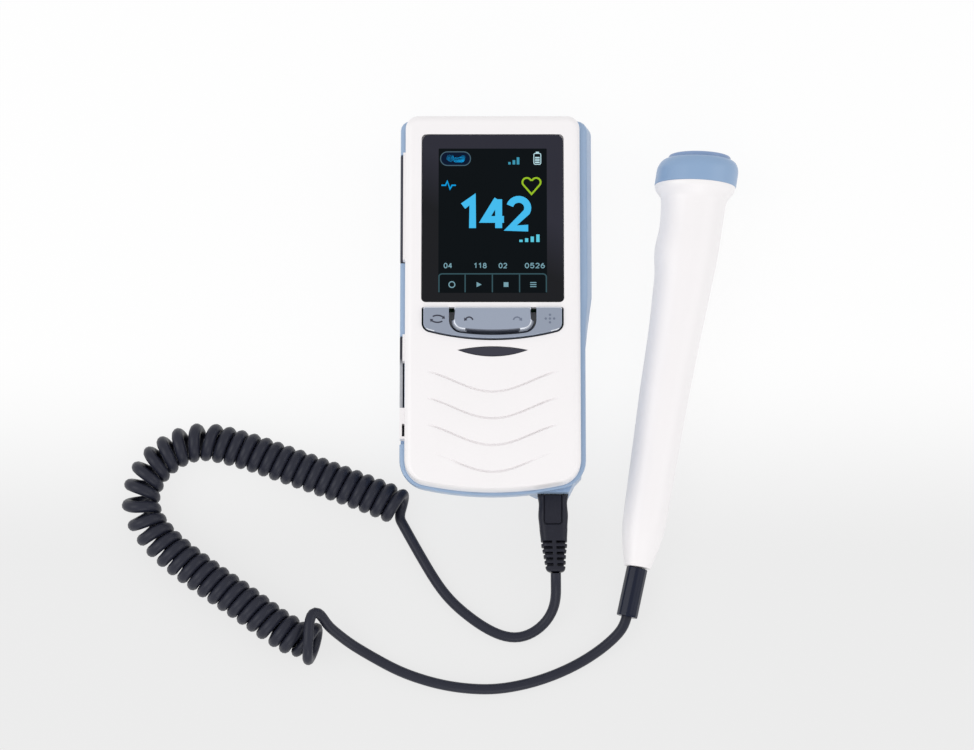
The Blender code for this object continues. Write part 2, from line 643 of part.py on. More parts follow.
def build_rear_cover():
    """Blue rear shell with its bay, posts, boss, slots and side cut-outs."""
    cover = loft("rear_cover", shell_rings(0.0, 0.0, PARTING_Z), "blue_plastic")
    cut(cover, loft("shell_hollow", shell_rings(WALL, WALL, PARTING_Z + OVERRUN)))
    for name, low_y, high_y in (("upper", UPPER_NOTCH_BOTTOM_Y, UPPER_NOTCH_TOP_Y),
                                ("lower", LOWER_NOTCH_BOTTOM_Y, LOWER_NOTCH_TOP_Y)):
        join(cover, box(name + "_pad", (-SHELL_X + WALL / 2, low_y - WALL, WALL),
                        (-SHELL_X + NOTCH_PAD, high_y + WALL, PARTING_Z - RIM_ROUND)))
    bay_x = PACK_W / 2 + BAY_GAP
    bay_roof_z = DOOR_LIFT + DOOR_T + SEAM + PACK_T + SEAM
    join(cover, box("bay_block", (-bay_x - BAY_RAIL, BAY_BOTTOM_Y - BAY_RAIL, WALL / 2),
                    (bay_x + BAY_RAIL, BAY_TOP_Y + BAY_RAIL, bay_roof_z + BAY_ROOF)))
    socket_box = boss_outline()
    join(cover, plate("boss", socket_box, PLUG_Z - BOSS_H / 2, PLUG_Z + BOSS_H / 2))
    for index, (x, y) in enumerate(SCREW_PLACES):
        join(cover, rod("rear_post_%d" % index, POST_R, (x, y, WALL / 2), (x, y, BOARD_LOW_Z - SEAM)))
    speaker_seat = rod("speaker_seat", SPEAKER_R + SEAM + SPEAKER_RING, (0, SPEAKER_Y, WALL / 2),
                       (0, SPEAKER_Y, WALL + SPEAKER_T / 2), steps=TURN_STEPS)
    cut(speaker_seat, rod("speaker_well", SPEAKER_R + SEAM, (0, SPEAKER_Y, 0), (0, SPEAKER_Y, CASE_T),
                          steps=TURN_STEPS))
    join(cover, speaker_seat)
    cut(cover, box("bay", (-bay_x, BAY_BOTTOM_Y, -OVERRUN), (bay_x, BAY_TOP_Y, bay_roof_z)))
    door_x = bay_x + DOOR_OVERLAP
    lip_top = DOOR_LIFT + DOOR_LIP_T + SEAM
    cut(cover, box("door_way", (-door_x - SEAM, -COVER_L, -OVERRUN), (door_x + SEAM, door_top_y() + SEAM, lip_top)))
    cut(cover, box("door_groove", (-door_x - DOOR_FLANGE - SEAM, -COVER_L, lip_top - SEAM),
                   (door_x + DOOR_FLANGE + SEAM, door_top_y() + SEAM, DOOR_LIFT + DOOR_T + SEAM)))
    for index, (x, y) in enumerate(SCREW_PLACES):
        cut(cover, rod("head_bore_%d" % index, HEAD_BORE_R, (x, y, -OVERRUN), (x, y, HEAD_BORE_Z)))
        cut(cover, rod("shank_bore_%d" % index, POST_BORE_R, (x, y, 0), (x, y, CASE_T), steps=SMALL_STEPS))
    for index in range(SLOT_COUNT):
        middle = SPEAKER_Y + (index - (SLOT_COUNT - 1) / 2) * SLOT_PITCH
        outline = rounded_rectangle((-SLOT_L / 2, middle - SLOT_W / 2), (SLOT_L / 2, middle + SLOT_W / 2),
                                    (SLOT_W / 2,) * 4, steps=2)
        cut(cover, plate("slot_%d" % index, outline, -OVERRUN, WALL + SEAM))
    for name, low_y, high_y in (("upper", UPPER_NOTCH_BOTTOM_Y, UPPER_NOTCH_TOP_Y),
                                ("lower", LOWER_NOTCH_BOTTOM_Y, LOWER_NOTCH_TOP_Y)):
        cut(cover, box(name + "_notch", (-COVER_W, low_y, NOTCH_LOW_Z), (NOTCH_FLOOR_X, high_y, CASE_T)))
    inner = -SHELL_X + WALL + NOTCH_PAD
    for name, y, radius in (("earphone", EARPHONE_Y, EARPHONE_R), ("line_out", LINE_OUT_Y, LINE_OUT_R)):
        cut(cover, rod(name + "_hole", radius + SEAM, (-COVER_W, y, PORT_Z), (inner, y, PORT_Z)))
    cut(cover, box("charging_hole", (-COVER_W, CHARGING_Y - CHARGING_W / 2 - SEAM, PORT_Z - CHARGING_H / 2 - SEAM),
                   (inner, CHARGING_Y + CHARGING_W / 2 + SEAM, PORT_Z + CHARGING_H / 2 + SEAM)))
    half_w = SHELL_W / 2 + SEAM + SOCKET_WALL + SEAM
    half_h = SHELL_H / 2 + SEAM + SOCKET_WALL + SEAM
    cut(cover, box("socket_hole", (PLUG_X - half_w, -COVER_L, PLUG_Z - half_h),
                   (PLUG_X + half_w, SOCKET_END_Y + SEAM, PLUG_Z + half_h)))
    return cover


def boss_outline():
    """Plan of the squared boss round the probe socket."""
    left = PLUG_X - BOSS_W / 2
    right = PLUG_X + BOSS_W / 2
    inner_y = BOSS_FACE_Y + BOSS_FLANK_L + WALL
    return [(left - BOSS_FLANK_W, BOSS_FACE_Y + WALL), (left - SEAM, BOSS_FACE_Y), (right, BOSS_FACE_Y),
            (right + BOSS_FLANK_W / 2, BOSS_FACE_Y + BOSS_KNEE_SHARE * BOSS_FLANK_L),
            (right + BOSS_FLANK_W, BOSS_FACE_Y + BOSS_FLANK_L), (right + BOSS_FLANK_W, inner_y),
            (left - BOSS_FLANK_W, inner_y)]


def cover_rings(inset, low, high, round_r):
    """Levels of the white cover, with a round edge at its face."""
    rings = [at_height(plan_points(COVER_PLAN, inset), low)]
    for step in range(4 if round_r else 0):
        turn = math.pi / 2 * step / 4
        drop = round_r * (1 - math.sin(turn))
        rings.append(at_height(plan_points(COVER_PLAN, inset + round_r * (1 - math.cos(turn))), high - drop))
    rings.append(at_height(plan_points(COVER_PLAN, inset + round_r), high))
    return rings


def wave_rise(x):
    """How far a wave's line has risen at a distance from the middle."""
    return WAVE_RISE * (1 - math.cos(math.pi * x / WAVE_CREST_X)) / 2


def wave_fade(index, share):
    """How much of its depth a wave keeps at a share of the way to its end."""
    core = 1 - ease((share - WAVE_CORE_SHARES[index]) / WAVE_FADE_SHARE)
    tail = WAVE_TAIL_SHARES[index]
    return (tail + (1 - tail) * core) * (1 - ease((share - 1 + WAVE_FADE_SHARE) / WAVE_FADE_SHARE))


def wave_tool(index):
    """A wedge that is deep along the wave's line and runs out below it and at its ends."""
    middle = WAVE_FIRST_Y - index * WAVE_PITCH
    length = WAVE_PITCH * WAVE_LENGTH_SHARE
    rings = []
    for step in range(WAVE_STEPS + 1):
        share = 2 * step / WAVE_STEPS - 1
        x = WAVE_HALF_W * share
        line = middle + wave_rise(x)
        fade = wave_fade(index, abs(share))
        deep = CASE_T - WAVE_DEPTH * fade + SEAM * (1 - fade) / 2
        rings.append([(x, line + WAVE_RISER / 2, CASE_T + OVERRUN), (x, line + WAVE_RISER / 2, CASE_T + SEAM),
                      (x, line - WAVE_RISER / 2, deep), (x, line - length, CASE_T + SEAM),
                      (x, line - length, CASE_T + OVERRUN)])
    return loft("wave_%d" % index, rings)


def lens_outline(gap):
    """Almond of two arcs, grown by a gap."""
    half = LENS_W / 2 + gap
    points = []
    for rise, side in ((LENS_SAG + gap, -1), (LENS_RISE + gap, 1)):
        radius = (half * half + rise * rise) / (2 * rise)
        lean = math.asin(half / radius)
        centre = (0, LENS_Y + side * (rise - radius))
        middle = side * math.pi / 2
        points += arc(centre, radius, middle - lean, middle + lean, 10)[:-1]
    return points


def window_outline(gap):
    """Window outline, grown by a gap."""
    low = (-WINDOW_W / 2 - gap, WINDOW_BOTTOM_Y - gap)
    high = (WINDOW_W / 2 + gap, WINDOW_TOP_Y + gap)
    small, large = WINDOW_BOTTOM_R + gap, WINDOW_TOP_R + gap
    return rounded_rectangle(low, high, (small, large, large, small))


def grown(plan, gap):
    """A plan offset outwards."""
    return Plan(plan.half_w + gap, plan.top + gap, plan.bottom - gap, plan.top_r + gap, plan.bottom_r + gap,
                plan.chin_r + gap)


def build_front_cover():
    """White front cover with its window pocket, key opening, lens pocket, steps, posts and side tabs."""
    cover = loft("front_cover", cover_rings(0.0, PARTING_Z + SEAM, CASE_T, FACE_ROUND), "white_plastic")
    cut(cover, loft("cover_hollow", cover_rings(WALL, PARTING_Z - OVERRUN, SKIN_Z, 0.0)))
    for index, (x, y) in enumerate(SCREW_PLACES):
        join(cover, rod("front_post_%d" % index, POST_R, (x, y, PARTING_Z + 2 * SEAM), (x, y, SKIN_Z + FACE_SKIN / 4)))
        cut(cover, rod("thread_%d" % index, SCREW_R + SEAM, (x, y, PARTING_Z - OVERRUN),
                       (x, y, PARTING_Z + SCREW_BITE + 2 * SEAM)))
    for name, low_y, high_y, spans in (("upper", UPPER_NOTCH_BOTTOM_Y, UPPER_NOTCH_TOP_Y, UPPER_TAB_SHARES),
                                       ("lower", LOWER_NOTCH_BOTTOM_Y, LOWER_NOTCH_TOP_Y, LOWER_TAB_SHARES)):
        run = high_y - low_y - 2 * SEAM
        for index, (start, end) in enumerate(spans):
            join(cover, box("%s_tab_%d" % (name, index),
                            (-COVER_W / 2 - TAB_W, high_y - SEAM - end * run, PARTING_Z + SEAM),
                            (-COVER_W / 2 + WALL / 2, high_y - SEAM - start * run, PARTING_Z + SEAM + TAB_H)))
    cut(cover, plate("window_pocket", window_outline(WINDOW_GAP), CASE_T - WINDOW_T - SEAM, CASE_T + OVERRUN))
    low = (-WINDOW_W / 2 + VIEW_LEDGE, WINDOW_BOTTOM_Y + VIEW_LEDGE)
    high = (WINDOW_W / 2 - VIEW_LEDGE, WINDOW_TOP_Y - VIEW_LEDGE)
    cut(cover, box("view", (*low, SKIN_Z - OVERRUN), (*high, CASE_T)))
    cut(cover, plate("key_opening", plan_points(grown(KEY_PLAN, KEY_GAP)), SKIN_Z - OVERRUN / 2, CASE_T + OVERRUN))
    cut(cover, plate("lens_pocket", lens_outline(LENS_GAP), CASE_T - LENS_T - SEAM, CASE_T + OVERRUN))
    cut(cover, rod("lamp_hole", LAMP_HOLE_R, (0, LENS_Y, SKIN_Z - OVERRUN / 2), (0, LENS_Y, CASE_T)))
    for index in range(WAVE_COUNT):
        cut(cover, wave_tool(index))
    return smooth(cover)


def rocker_outline(shrink):
    """Outline of the rocker's slot in the outer key, or of the rocker inside it, with its top edge in place."""
    plan = Plan(KEY_W / 2 - KEY_ARM, KEY_TOP_Y + shrink, KEY_BOTTOM_Y + KEY_BRIDGE, KEY_TOP_R + shrink,
                ROCKER_BOTTOM_R, KEY_CHIN_R)
    return plan_points(plan, shrink)


def build_keys():
    """The U-shaped key, the rocker inside it, and the mat that carries both on a rib."""
    outer = plate("mode_power_key", plan_points(KEY_PLAN), KEY_LOW_Z, KEY_LOW_Z + KEY_T, "silver_key")
    slot = [(x, y + OVERRUN if y > KEY_TOP_Y - KEY_TOP_R - SEAM else y) for x, y in rocker_outline(0.0)]
    cut(outer, plate("rocker_slot", slot, KEY_LOW_Z - OVERRUN, KEY_LOW_Z + KEY_T + OVERRUN))
    bevelled(outer, KEY_ROUND)
    pivot(outer, KEY_HINGE)
    skirt_z = KEY_LOW_Z + KEY_T - ROCKER_SKIRT_DROP
    wide = at_height(rocker_outline(ROCKER_GAP), KEY_LOW_Z)
    rocker = loft("volume_key", [wide, at_height(rocker_outline(ROCKER_GAP), skirt_z),
                                 at_height(rocker_outline(ROCKER_GAP + ROCKER_SKIRT / 3),
                                           skirt_z + ROCKER_SKIRT_DROP / 2),
                                 at_height(rocker_outline(ROCKER_GAP + ROCKER_SKIRT), KEY_LOW_Z + KEY_T)],
                  "silver_key")
    pivot(rocker, KEY_HINGE)
    mat_low = BOARD_LOW_Z + BOARD_T + SEAM
    mat_top = mat_low + KEY_MAT_T
    mat = box("key_mat", (-KEY_W / 2 + KEY_ROUND, KEY_BOTTOM_Y, mat_low),
              (KEY_W / 2 - KEY_ROUND, KEY_TOP_Y - KEY_ROUND, mat_top), "silicone")
    join(mat, box("key_rib", (-KEY_RIB_W / 2, KEY_BOTTOM_Y + KEY_ROUND, mat_low + KEY_MAT_T / 2),
                  (KEY_RIB_W / 2, KEY_TOP_Y - 2 * KEY_ROUND, KEY_LOW_Z - SEAM)))
    middle_y = (KEY_TOP_Y + KEY_BOTTOM_Y) / 2
    for index, share in enumerate((-OUTER_DOME_SHARE, -ROCKER_DOME_SHARE, ROCKER_DOME_SHARE, OUTER_DOME_SHARE)):
        x = KEY_W * share
        join(mat, rod("dome_%d" % index, DOME_R, (x, middle_y, mat_low + KEY_MAT_T / 2),
                      (x, middle_y, KEY_LOW_Z - DOME_DROP), steps=12))


def build_display():
    """Smoked window in its pocket, the display under it, the indicator lens and its lamp."""
    plate("display_window", window_outline(0.0), CASE_T - WINDOW_T, CASE_T, "smoked_window")
    middle_y = (WINDOW_TOP_Y + WINDOW_BOTTOM_Y) / 2
    top = SKIN_Z - SEAM
    module = box("display_module", (-DISPLAY_W / 2, middle_y - DISPLAY_L / 2, top - DISPLAY_T),
                 (DISPLAY_W / 2, middle_y + DISPLAY_L / 2, top), "display_black")
    bevelled(module, DISPLAY_ROUND, 1)
    plate("indicator_lens", lens_outline(0.0), CASE_T - LENS_T, CASE_T, "smoked_window")
    lamp_low = BOARD_LOW_Z + BOARD_T + SEAM
    lamp = rod("status_lamp", LAMP_R, (0, LENS_Y, lamp_low), (0, LENS_Y, SKIN_Z - SEAM), "lamp_resin")
    bevelled(lamp, LAMP_R / 3)


def build_board():
    """Main board on the rear posts, with a hole for each screw."""
    half_w = COVER_W / 2 - BOARD_SIDE
    outline = rounded_rectangle((-half_w, COVER_BOTTOM_Y + BOARD_BOTTOM), (half_w, COVER_TOP_Y - BOARD_TOP),
                                (BOARD_CORNER_R,) * 4)
    board = plate("main_board", outline, BOARD_LOW_Z, BOARD_LOW_Z + BOARD_T, "board_green")
    for index, (x, y) in enumerate(SCREW_PLACES):
        cut(board, rod("board_hole_%d" % index, POST_BORE_R, (x, y, 0), (x, y, CASE_T), steps=12))


def build_screws():
    """Four case screws, from the back through the rear posts into the front ones."""
    for index, (x, y) in enumerate(SCREW_PLACES, start=1):
        head_z = HEAD_BORE_Z - SEAM
        profile = [(0, PARTING_Z + SCREW_BITE), (SCREW_R, PARTING_Z + SCREW_BITE - SCREW_R / 2), (SCREW_R, head_z),
                   (SCREW_HEAD_R, head_z), (SCREW_HEAD_R, head_z - SCREW_HEAD_T / 2),
                   (SCREW_HEAD_R / 2, head_z - SCREW_HEAD_T), (0, head_z - SCREW_HEAD_T)]
        screw = turned("case_screw_%d" % index, profile, "steel", 12, ASSEMBLY)
        screw.location = (x, y, 0)


def build_battery():
    """Battery pack in its bay, and the door whose flanges run in the bay's grooves."""
    bay_x = PACK_W / 2 + BAY_GAP
    pack_low = DOOR_LIFT + DOOR_T + SEAM
    pack = box("battery_pack", (-PACK_W / 2, BAY_BOTTOM_Y + BAY_GAP, pack_low),
               (PACK_W / 2, BAY_TOP_Y - BAY_GAP, pack_low + PACK_T), "cell_wrap")
    bevelled(pack, PACK_ROUND, 2)
    door_x = bay_x + DOOR_OVERLAP
    lip_top = DOOR_LIFT + DOOR_LIP_T
    door = box("battery_door", (-door_x, -COVER_L, DOOR_LIFT), (door_x, door_top_y(), lip_top + SEAM), "blue_plastic")
    join(door, box("door_flange", (-door_x - DOOR_FLANGE, -COVER_L, lip_top + SEAM / 2),
                   (door_x + DOOR_FLANGE, door_top_y(), DOOR_LIFT + DOOR_T)))
    keep(door, loft("door_form", shell_rings(0.0, 0.0, PARTING_Z)))
    pivot(door, (0, door_top_y(), DOOR_LIFT))


def build_speaker():
    """Loudspeaker, face down in its ring over the slots."""
    low = WALL + SEAM
    magnet_r = SPEAKER_R * SPEAKER_MAGNET_SHARE
    rim = low + SPEAKER_RIM_T
    profile = [(0, low + SPEAKER_T), (magnet_r, low + SPEAKER_T), (magnet_r, low + SPEAKER_T / 2),
               (SPEAKER_R, rim), (SPEAKER_R, low), (0, low)]
    speaker = turned("loudspeaker", profile, "black_plastic", TURN_STEPS, ASSEMBLY)
    speaker.location.y = SPEAKER_Y


def build_side():
    """Dark strip in the upper cut-out; hinged port cover, two jacks and the charging socket in the lower one."""
    strip_top = PARTING_Z - SEAM
    strip = box("side_strip", (-SHELL_X, UPPER_NOTCH_BOTTOM_Y + SEAM, NOTCH_LOW_Z + SEAM),
                (NOTCH_FLOOR_X - SEAM, UPPER_NOTCH_TOP_Y - SEAM, strip_top), "dark_rubber")
    bevelled(strip, PORT_COVER_ROUND, 1)
    cover = box("port_cover", (-SHELL_X, PORT_COVER_TOP_Y - PORT_COVER_L, NOTCH_LOW_Z + SEAM),
                (-SHELL_X + STRIP_T, PORT_COVER_TOP_Y, strip_top), "dark_rubber")
    bevelled(cover, PORT_COVER_ROUND, 2)
    pivot(cover, (HINGE_X, PORT_COVER_TOP_Y - PORT_COVER_L / 2, HINGE_Z))
    start_x = NOTCH_FLOOR_X + SEAM
    for name, y, radius, bore in (("earphone_jack", EARPHONE_Y, EARPHONE_R, JACK_BORE_R),
                                  ("line_out_jack", LINE_OUT_Y, LINE_OUT_R, LINE_OUT_BORE_R)):
        jack = rod(name, radius, (start_x, y, PORT_Z), (start_x + JACK_L, y, PORT_Z), "black_plastic")
        cut(jack, rod(name + "_bore", bore, (-COVER_W, y, PORT_Z), (start_x + JACK_L - WALL, y, PORT_Z), steps=12))
    half_w, half_h = CHARGING_W / 2, CHARGING_H / 2
    socket = box("charging_socket", (start_x, CHARGING_Y - half_w, PORT_Z - half_h),
                 (start_x + CHARGING_L, CHARGING_Y + half_w, PORT_Z + half_h), "steel")
    cut(socket, box("charging_bore", (-COVER_W, CHARGING_Y - half_w + CHARGING_WALL, PORT_Z - half_h + CHARGING_WALL),
                    (start_x + CHARGING_L - WALL, CHARGING_Y + half_w - CHARGING_WALL,
                     PORT_Z + half_h - CHARGING_WALL)))


def build_probe_socket():
    """Socket inside the boss that takes the plug's shell."""
    half_w = SHELL_W / 2 + SEAM + SOCKET_WALL
    half_h = SHELL_H / 2 + SEAM + SOCKET_WALL
    face = BOSS_FACE_Y + SEAM
    socket = box("probe_socket", (PLUG_X - half_w, face, PLUG_Z - half_h),
                 (PLUG_X + half_w, SOCKET_END_Y, PLUG_Z + half_h), "black_plastic")
    cut(socket, box("socket_bore", (PLUG_X - half_w + SOCKET_WALL, -COVER_L, PLUG_Z - half_h + SOCKET_WALL),
                    (PLUG_X + half_w - SOCKET_WALL, SOCKET_END_Y - SOCKET_END, PLUG_Z + half_h - SOCKET_WALL)))


def plug_section(width, height, along):
    """One rounded section of the plug moulding at a distance from its face."""
    radius = PLUG_CORNER_SHARE * height
    outline = rounded_rectangle((-width / 2, -height / 2), (width / 2, height / 2), (radius,) * 4, steps=3)
    middle_x = plug_middle_x(along / PLUG_L)
    return [(middle_x + x, BOSS_FACE_Y - SEAM - along, PLUG_Z + z) for x, z in outline]


def plug_middle_x(share):
    """Middle of the plug moulding, which leans a little to the right towards its cord."""
    return PLUG_X + PLUG_LEAN * share * share


def relief_slit(name, share, y, side):
    """A slit round one side of the relief that leaves its spine and its core."""
    stations = [(station[0], station[1]) for station in PLUG_STATION_SHARES]
    half_w = PLUG_W / 2 * float(np.interp(share, *zip(*stations)))
    middle_x = plug_middle_x(share)
    spine, notch, web = RELIEF_SPINE / 2, half_w - RELIEF_NOTCH, RELIEF_WEB / 2
    outline = [(spine, PLUG_T), (PLUG_W, PLUG_T), (PLUG_W, -PLUG_T), (spine, -PLUG_T), (spine, -web), (notch, -web),
               (notch, web), (spine, web)]
    rings = [[(middle_x + side * x, y + half, PLUG_Z + z) for x, z in outline]
             for half in (-RELIEF_SLIT / 2, RELIEF_SLIT / 2)]
    return loft(name, rings)


def build_plug():
    """Plug moulding with a bare recessed panel and a slit strain relief, and the metal shell in its face."""
    rings = [plug_section(PLUG_W * wide, PLUG_T * high, PLUG_L * along) for along, wide, high in PLUG_STATION_SHARES]
    body = loft("plug_body", rings, "cord_rubber", CABLE)
    face = BOSS_FACE_Y - SEAM
    root_w, root_h = SHELL_W / 2 + SEAM, SHELL_H / 2 + SEAM
    cut(body, box("shell_root", (PLUG_X - root_w, face - SHELL_ROOT - SEAM, PLUG_Z - root_h),
                  (PLUG_X + root_w, face + OVERRUN, PLUG_Z + root_h)))
    cut(body, box("panel", (PLUG_X - PANEL_W / 2, face - PANEL_L, PLUG_Z + PLUG_T / 2 - PANEL_DEPTH),
                  (PLUG_X + PANEL_W / 2, face + OVERRUN, PLUG_Z + PLUG_T)))
    for index in range(RELIEF_SLITS):
        share = RELIEF_FIRST_SHARE + index * RELIEF_PITCH / PLUG_L
        for side in (-1, 1):
            cut(body, relief_slit("slit_%d_%d" % (index, side), share, face - PLUG_L * share, side))
    shell = box("plug_shell", (PLUG_X - SHELL_W / 2, face - SHELL_ROOT, PLUG_Z - SHELL_H / 2),
                (PLUG_X + SHELL_W / 2, BOSS_FACE_Y + SHELL_L, PLUG_Z + SHELL_H / 2), "steel", CABLE)
    cut(shell, box("shell_bore", (PLUG_X - SHELL_W / 2 + SHELL_WALL, BOSS_FACE_Y, PLUG_Z - SHELL_H / 2 + SHELL_WALL),
                   (PLUG_X + SHELL_W / 2 - SHELL_WALL, COVER_L, PLUG_Z + SHELL_H / 2 - SHELL_WALL)))
    return face - PLUG_L


def tube(name, points, sides_level, finish):
    """An unbroken round tube of the cord's diameter through points."""
    curve = bpy.data.curves.new(name, "CURVE")
    curve.dimensions = "3D"
    curve.bevel_depth = CORD_D / 2
    curve.bevel_resolution = sides_level
    curve.use_fill_caps = True
    spline = curve.splines.new("POLY")
    spline.points.add(len(points) - 1)
    for point, place in zip(spline.points, points):
        point.co = (*place, 1)
    curve.materials.append(MATERIALS[finish])
    made = bpy.data.objects.new(name, curve)
    made.parent = CABLE
    made.matrix_parent_inverse = CABLE.matrix_basis.inverted()
    PARTS.objects.link(made)


def smooth_line(points, steps=24):
    """Dense points of a smooth curve through a route's points."""
    knots = [Vector(point) for point in points]
    knots = [2 * knots[0] - knots[1]] + knots + [2 * knots[-1] - knots[-2]]
    line = []
    for before, start, end, after in zip(knots, knots[1:], knots[2:], knots[3:]):
        for step in range(steps):
            share = step / steps
            line.append(0.5 * (2 * start + (end - before) * share
                               + (2 * before - 5 * start + 4 * end - after) * share ** 2
                               + (3 * start - before - 3 * end + after) * share ** 3))
    return line + [knots[-2]]


def evenly(line, spacing):
    """Points at even distances along a dense line, ends included."""
    lengths = [0.0]
    for one, other in zip(line, line[1:]):
        lengths.append(lengths[-1] + (other - one).length)
    count = max(2, round(lengths[-1] / spacing))
    picked = []
    index = 0
    for step in range(count + 1):
        target = lengths[-1] * step / count
        while index < len(line) - 2 and lengths[index + 1] < target:
            index += 1
        share = (target - lengths[index]) / max(lengths[index + 1] - lengths[index], SEAM / 1000)
        picked.append(line[index].lerp(line[index + 1], min(share, 1.0)))
    return picked


def hermite(start, start_run, end, end_run, steps):
    """Points of a smooth bend between two places, each with its direction and strength."""
    points = []
    for step in range(steps + 1):
        t = step / steps
        points.append((2 * t ** 3 - 3 * t ** 2 + 1) * start + (t ** 3 - 2 * t ** 2 + t) * start_run
                      + (3 * t ** 2 - 2 * t ** 3) * end + (t ** 3 - t ** 2) * end_run)
    return points


def curl_line(points_a_curl):
    """Centre line of the curls: a helix round the spine whose pitch is held on the inner side of bends."""
    spine = evenly(smooth_line([(x * MM, y * MM, 0) for x, y in SPINE_ROUTE]), CURL_PITCH / 16)
    step_length = (spine[1] - spine[0]).length
    headings = [(after - before).normalized() for before, after in zip(spine, spine[2:])]
    headings = [headings[0]] + headings + [headings[-1]]
    turns = [0.0]
    for one, other in zip(headings, headings[1:]):
        bend = one.angle(other) / step_length
        turns.append(turns[-1] + step_length / CURL_PITCH * (1 - CURL_MEAN_R * bend))
    total = math.floor(turns[-1] - LAST_CURL_SHARE) + LAST_CURL_SHARE
    turns = [turn * total / turns[-1] for turn in turns]
    line = []
    index = 0
    for step in range(round(total * points_a_curl) + 1):
        turn = step / points_a_curl
        while index < len(turns) - 2 and turns[index + 1] < turn:
            index += 1
        share = (turn - turns[index]) / (turns[index + 1] - turns[index])
        place = spine[index].lerp(spine[index + 1], share)
        heading = headings[index].lerp(headings[index + 1], share).normalized()
        side = Vector((-heading.y, heading.x, 0))
        angle = 2 * math.pi * turn
        height = CURL_OUTER_R - CURL_MEAN_R * math.cos(angle)
        line.append(place - side * CURL_MEAN_R * math.sin(angle) + Vector((0, 0, height)))
    return line, total


def curly_cord():
    """The curly cord in one tube: a straight run in, the curls, the opened last curl and a straight run out."""
    line, total = curl_line(CURL_POINTS)
    lead_in = Vector(LEAD_END) * MM
    lead_run = (lead_in - Vector(LEAD_ROUTE[-1]) * MM).normalized()
    lead_run.z = 0
    tail_out = Vector(TAIL_START) * MM
    tail_run = (Vector(TAIL_ROUTE[0]) * MM - tail_out).normalized()
    entry = lead_in + lead_run * CORD_D
    departure = tail_out - tail_run * CORD_D
    first_run = (line[1] - line[0]).normalized()
    bend_in = hermite(entry, lead_run * (line[0] - entry).length, line[0], first_run * (line[0] - entry).length, 4)
    last_curl = [Vector(place) * MM for place in LAST_CURL_ROUTE]
    opened = smooth_line(line[-2:] + last_curl + [departure, tail_out])
    opened = opened[opened.index(line[-1]):opened.index(departure) + 1]
    last_curl = evenly(opened, (line[-1] - line[-2]).length)
    points = [lead_in] + bend_in[:-1] + line + last_curl[1:] + [tail_out]
    tube("curly_cord", points, 1, "cord_rubber")
    return points, lead_in, lead_run, tail_out, tail_run, total


def report_gap(points):
    """Print the least gap between two stretches of the curly cord that are over half a curl apart."""
    dense = []
    for one, other in zip(points, points[1:]):
        dense += [one.lerp(other, share / 4) for share in range(4)]
    places = np.array([tuple(point) for point in dense])
    steps = np.linalg.norm(np.diff(places, axis=0), axis=1)
    along = np.concatenate(([0.0], np.cumsum(steps)))
    apart = np.abs(along[:, None] - along[None, :])
    distance = np.linalg.norm(places[:, None, :] - places[None, :, :], axis=2)
    distance[apart < 1.2 * math.pi * CURL_MEAN_R] = COVER_L
    least = distance.min() - CORD_D
    print("least gap of the curly cord to itself: %.3f mm, wanted over %.1f mm" % (least / MM, LEAST_CORD_GAP / MM))
    print("length of the curly cord: %.1f mm" % (along[-1] / MM))


def build_cord(plug_end_y):
    """Lead, curly cord and tail, meeting the plug, each other and the probe's relief face to face."""
    points, lead_in, lead_run, tail_out, tail_run, total = curly_cord()
    report_gap(points)
    print("curls: %.1f" % total)
    start = Vector((PLUG_X + PLUG_LEAN, plug_end_y - SEAM, PLUG_Z))
    after_start = start - Vector((0, CORD_D, 0))
    lead_end = lead_in - lead_run * SEAM
    before_end = lead_end - lead_run * CORD_D
    shift = start.x - LEAD_ROUTE[0][0] * MM
    route = [start, after_start]
    for index, place in enumerate(LEAD_ROUTE):
        route.append(Vector(place) * MM + Vector((shift * (1 - index / len(LEAD_ROUTE)), 0, 0)))
    route += [before_end, lead_end]
    tube("lead_cord", [start] + evenly(smooth_line(route[1:-1]), CORD_SPACING) + [lead_end], 2, "cord_rubber")
    probe = PROBE_AXIS.matrix_basis
    relief_end = probe @ relief_point(RELIEF_L + SEAM)
    before_relief = probe @ relief_point(RELIEF_L + SEAM + CORD_D)
    tail_start = tail_out + tail_run * SEAM
    route = [tail_start, tail_start + tail_run * CORD_D] + [Vector(place) * MM for place in TAIL_ROUTE]
    route += [before_relief, relief_end]
    tube("tail_cord", [tail_start] + evenly(smooth_line(route[1:-1]), CORD_SPACING) + [relief_end], 2, "cord_rubber")
    for name, ends in (("lead", (start, lead_end)), ("tail", (tail_start, relief_end))):
        print(name, "ends, mm:", [[round(value / MM, 2) for value in end] for end in ends])


def handle_radius(along):
    """The handle's outer radius at a distance from its tail."""
    return float(np.interp(along, *zip(*HANDLE_STATIONS)))


def place_probe():
    """Lay the probe on its head ring and the thick end of its handle."""
    lean = math.atan(min((HEAD_R - radius) / (HANDLE_L + SEAM - along) for along, radius in HANDLE_STATIONS))
    tail_z = HEAD_R * math.cos(lean) - (HANDLE_L + SEAM) * math.sin(lean)
    axis = Vector((math.sin(PROBE_TURN) * math.cos(lean), math.cos(PROBE_TURN) * math.cos(lean), math.sin(lean)))
    across = Vector((math.cos(PROBE_TURN), -math.sin(PROBE_TURN), 0))
    down = axis.cross(across)
    basis = Matrix((across, down, axis)).transposed().to_4x4()
    PROBE_AXIS.matrix_basis = Matrix.Translation((PROBE_TAIL_X, PROBE_TAIL_Y, tail_z)) @ basis
    bpy.context.view_layer.update()


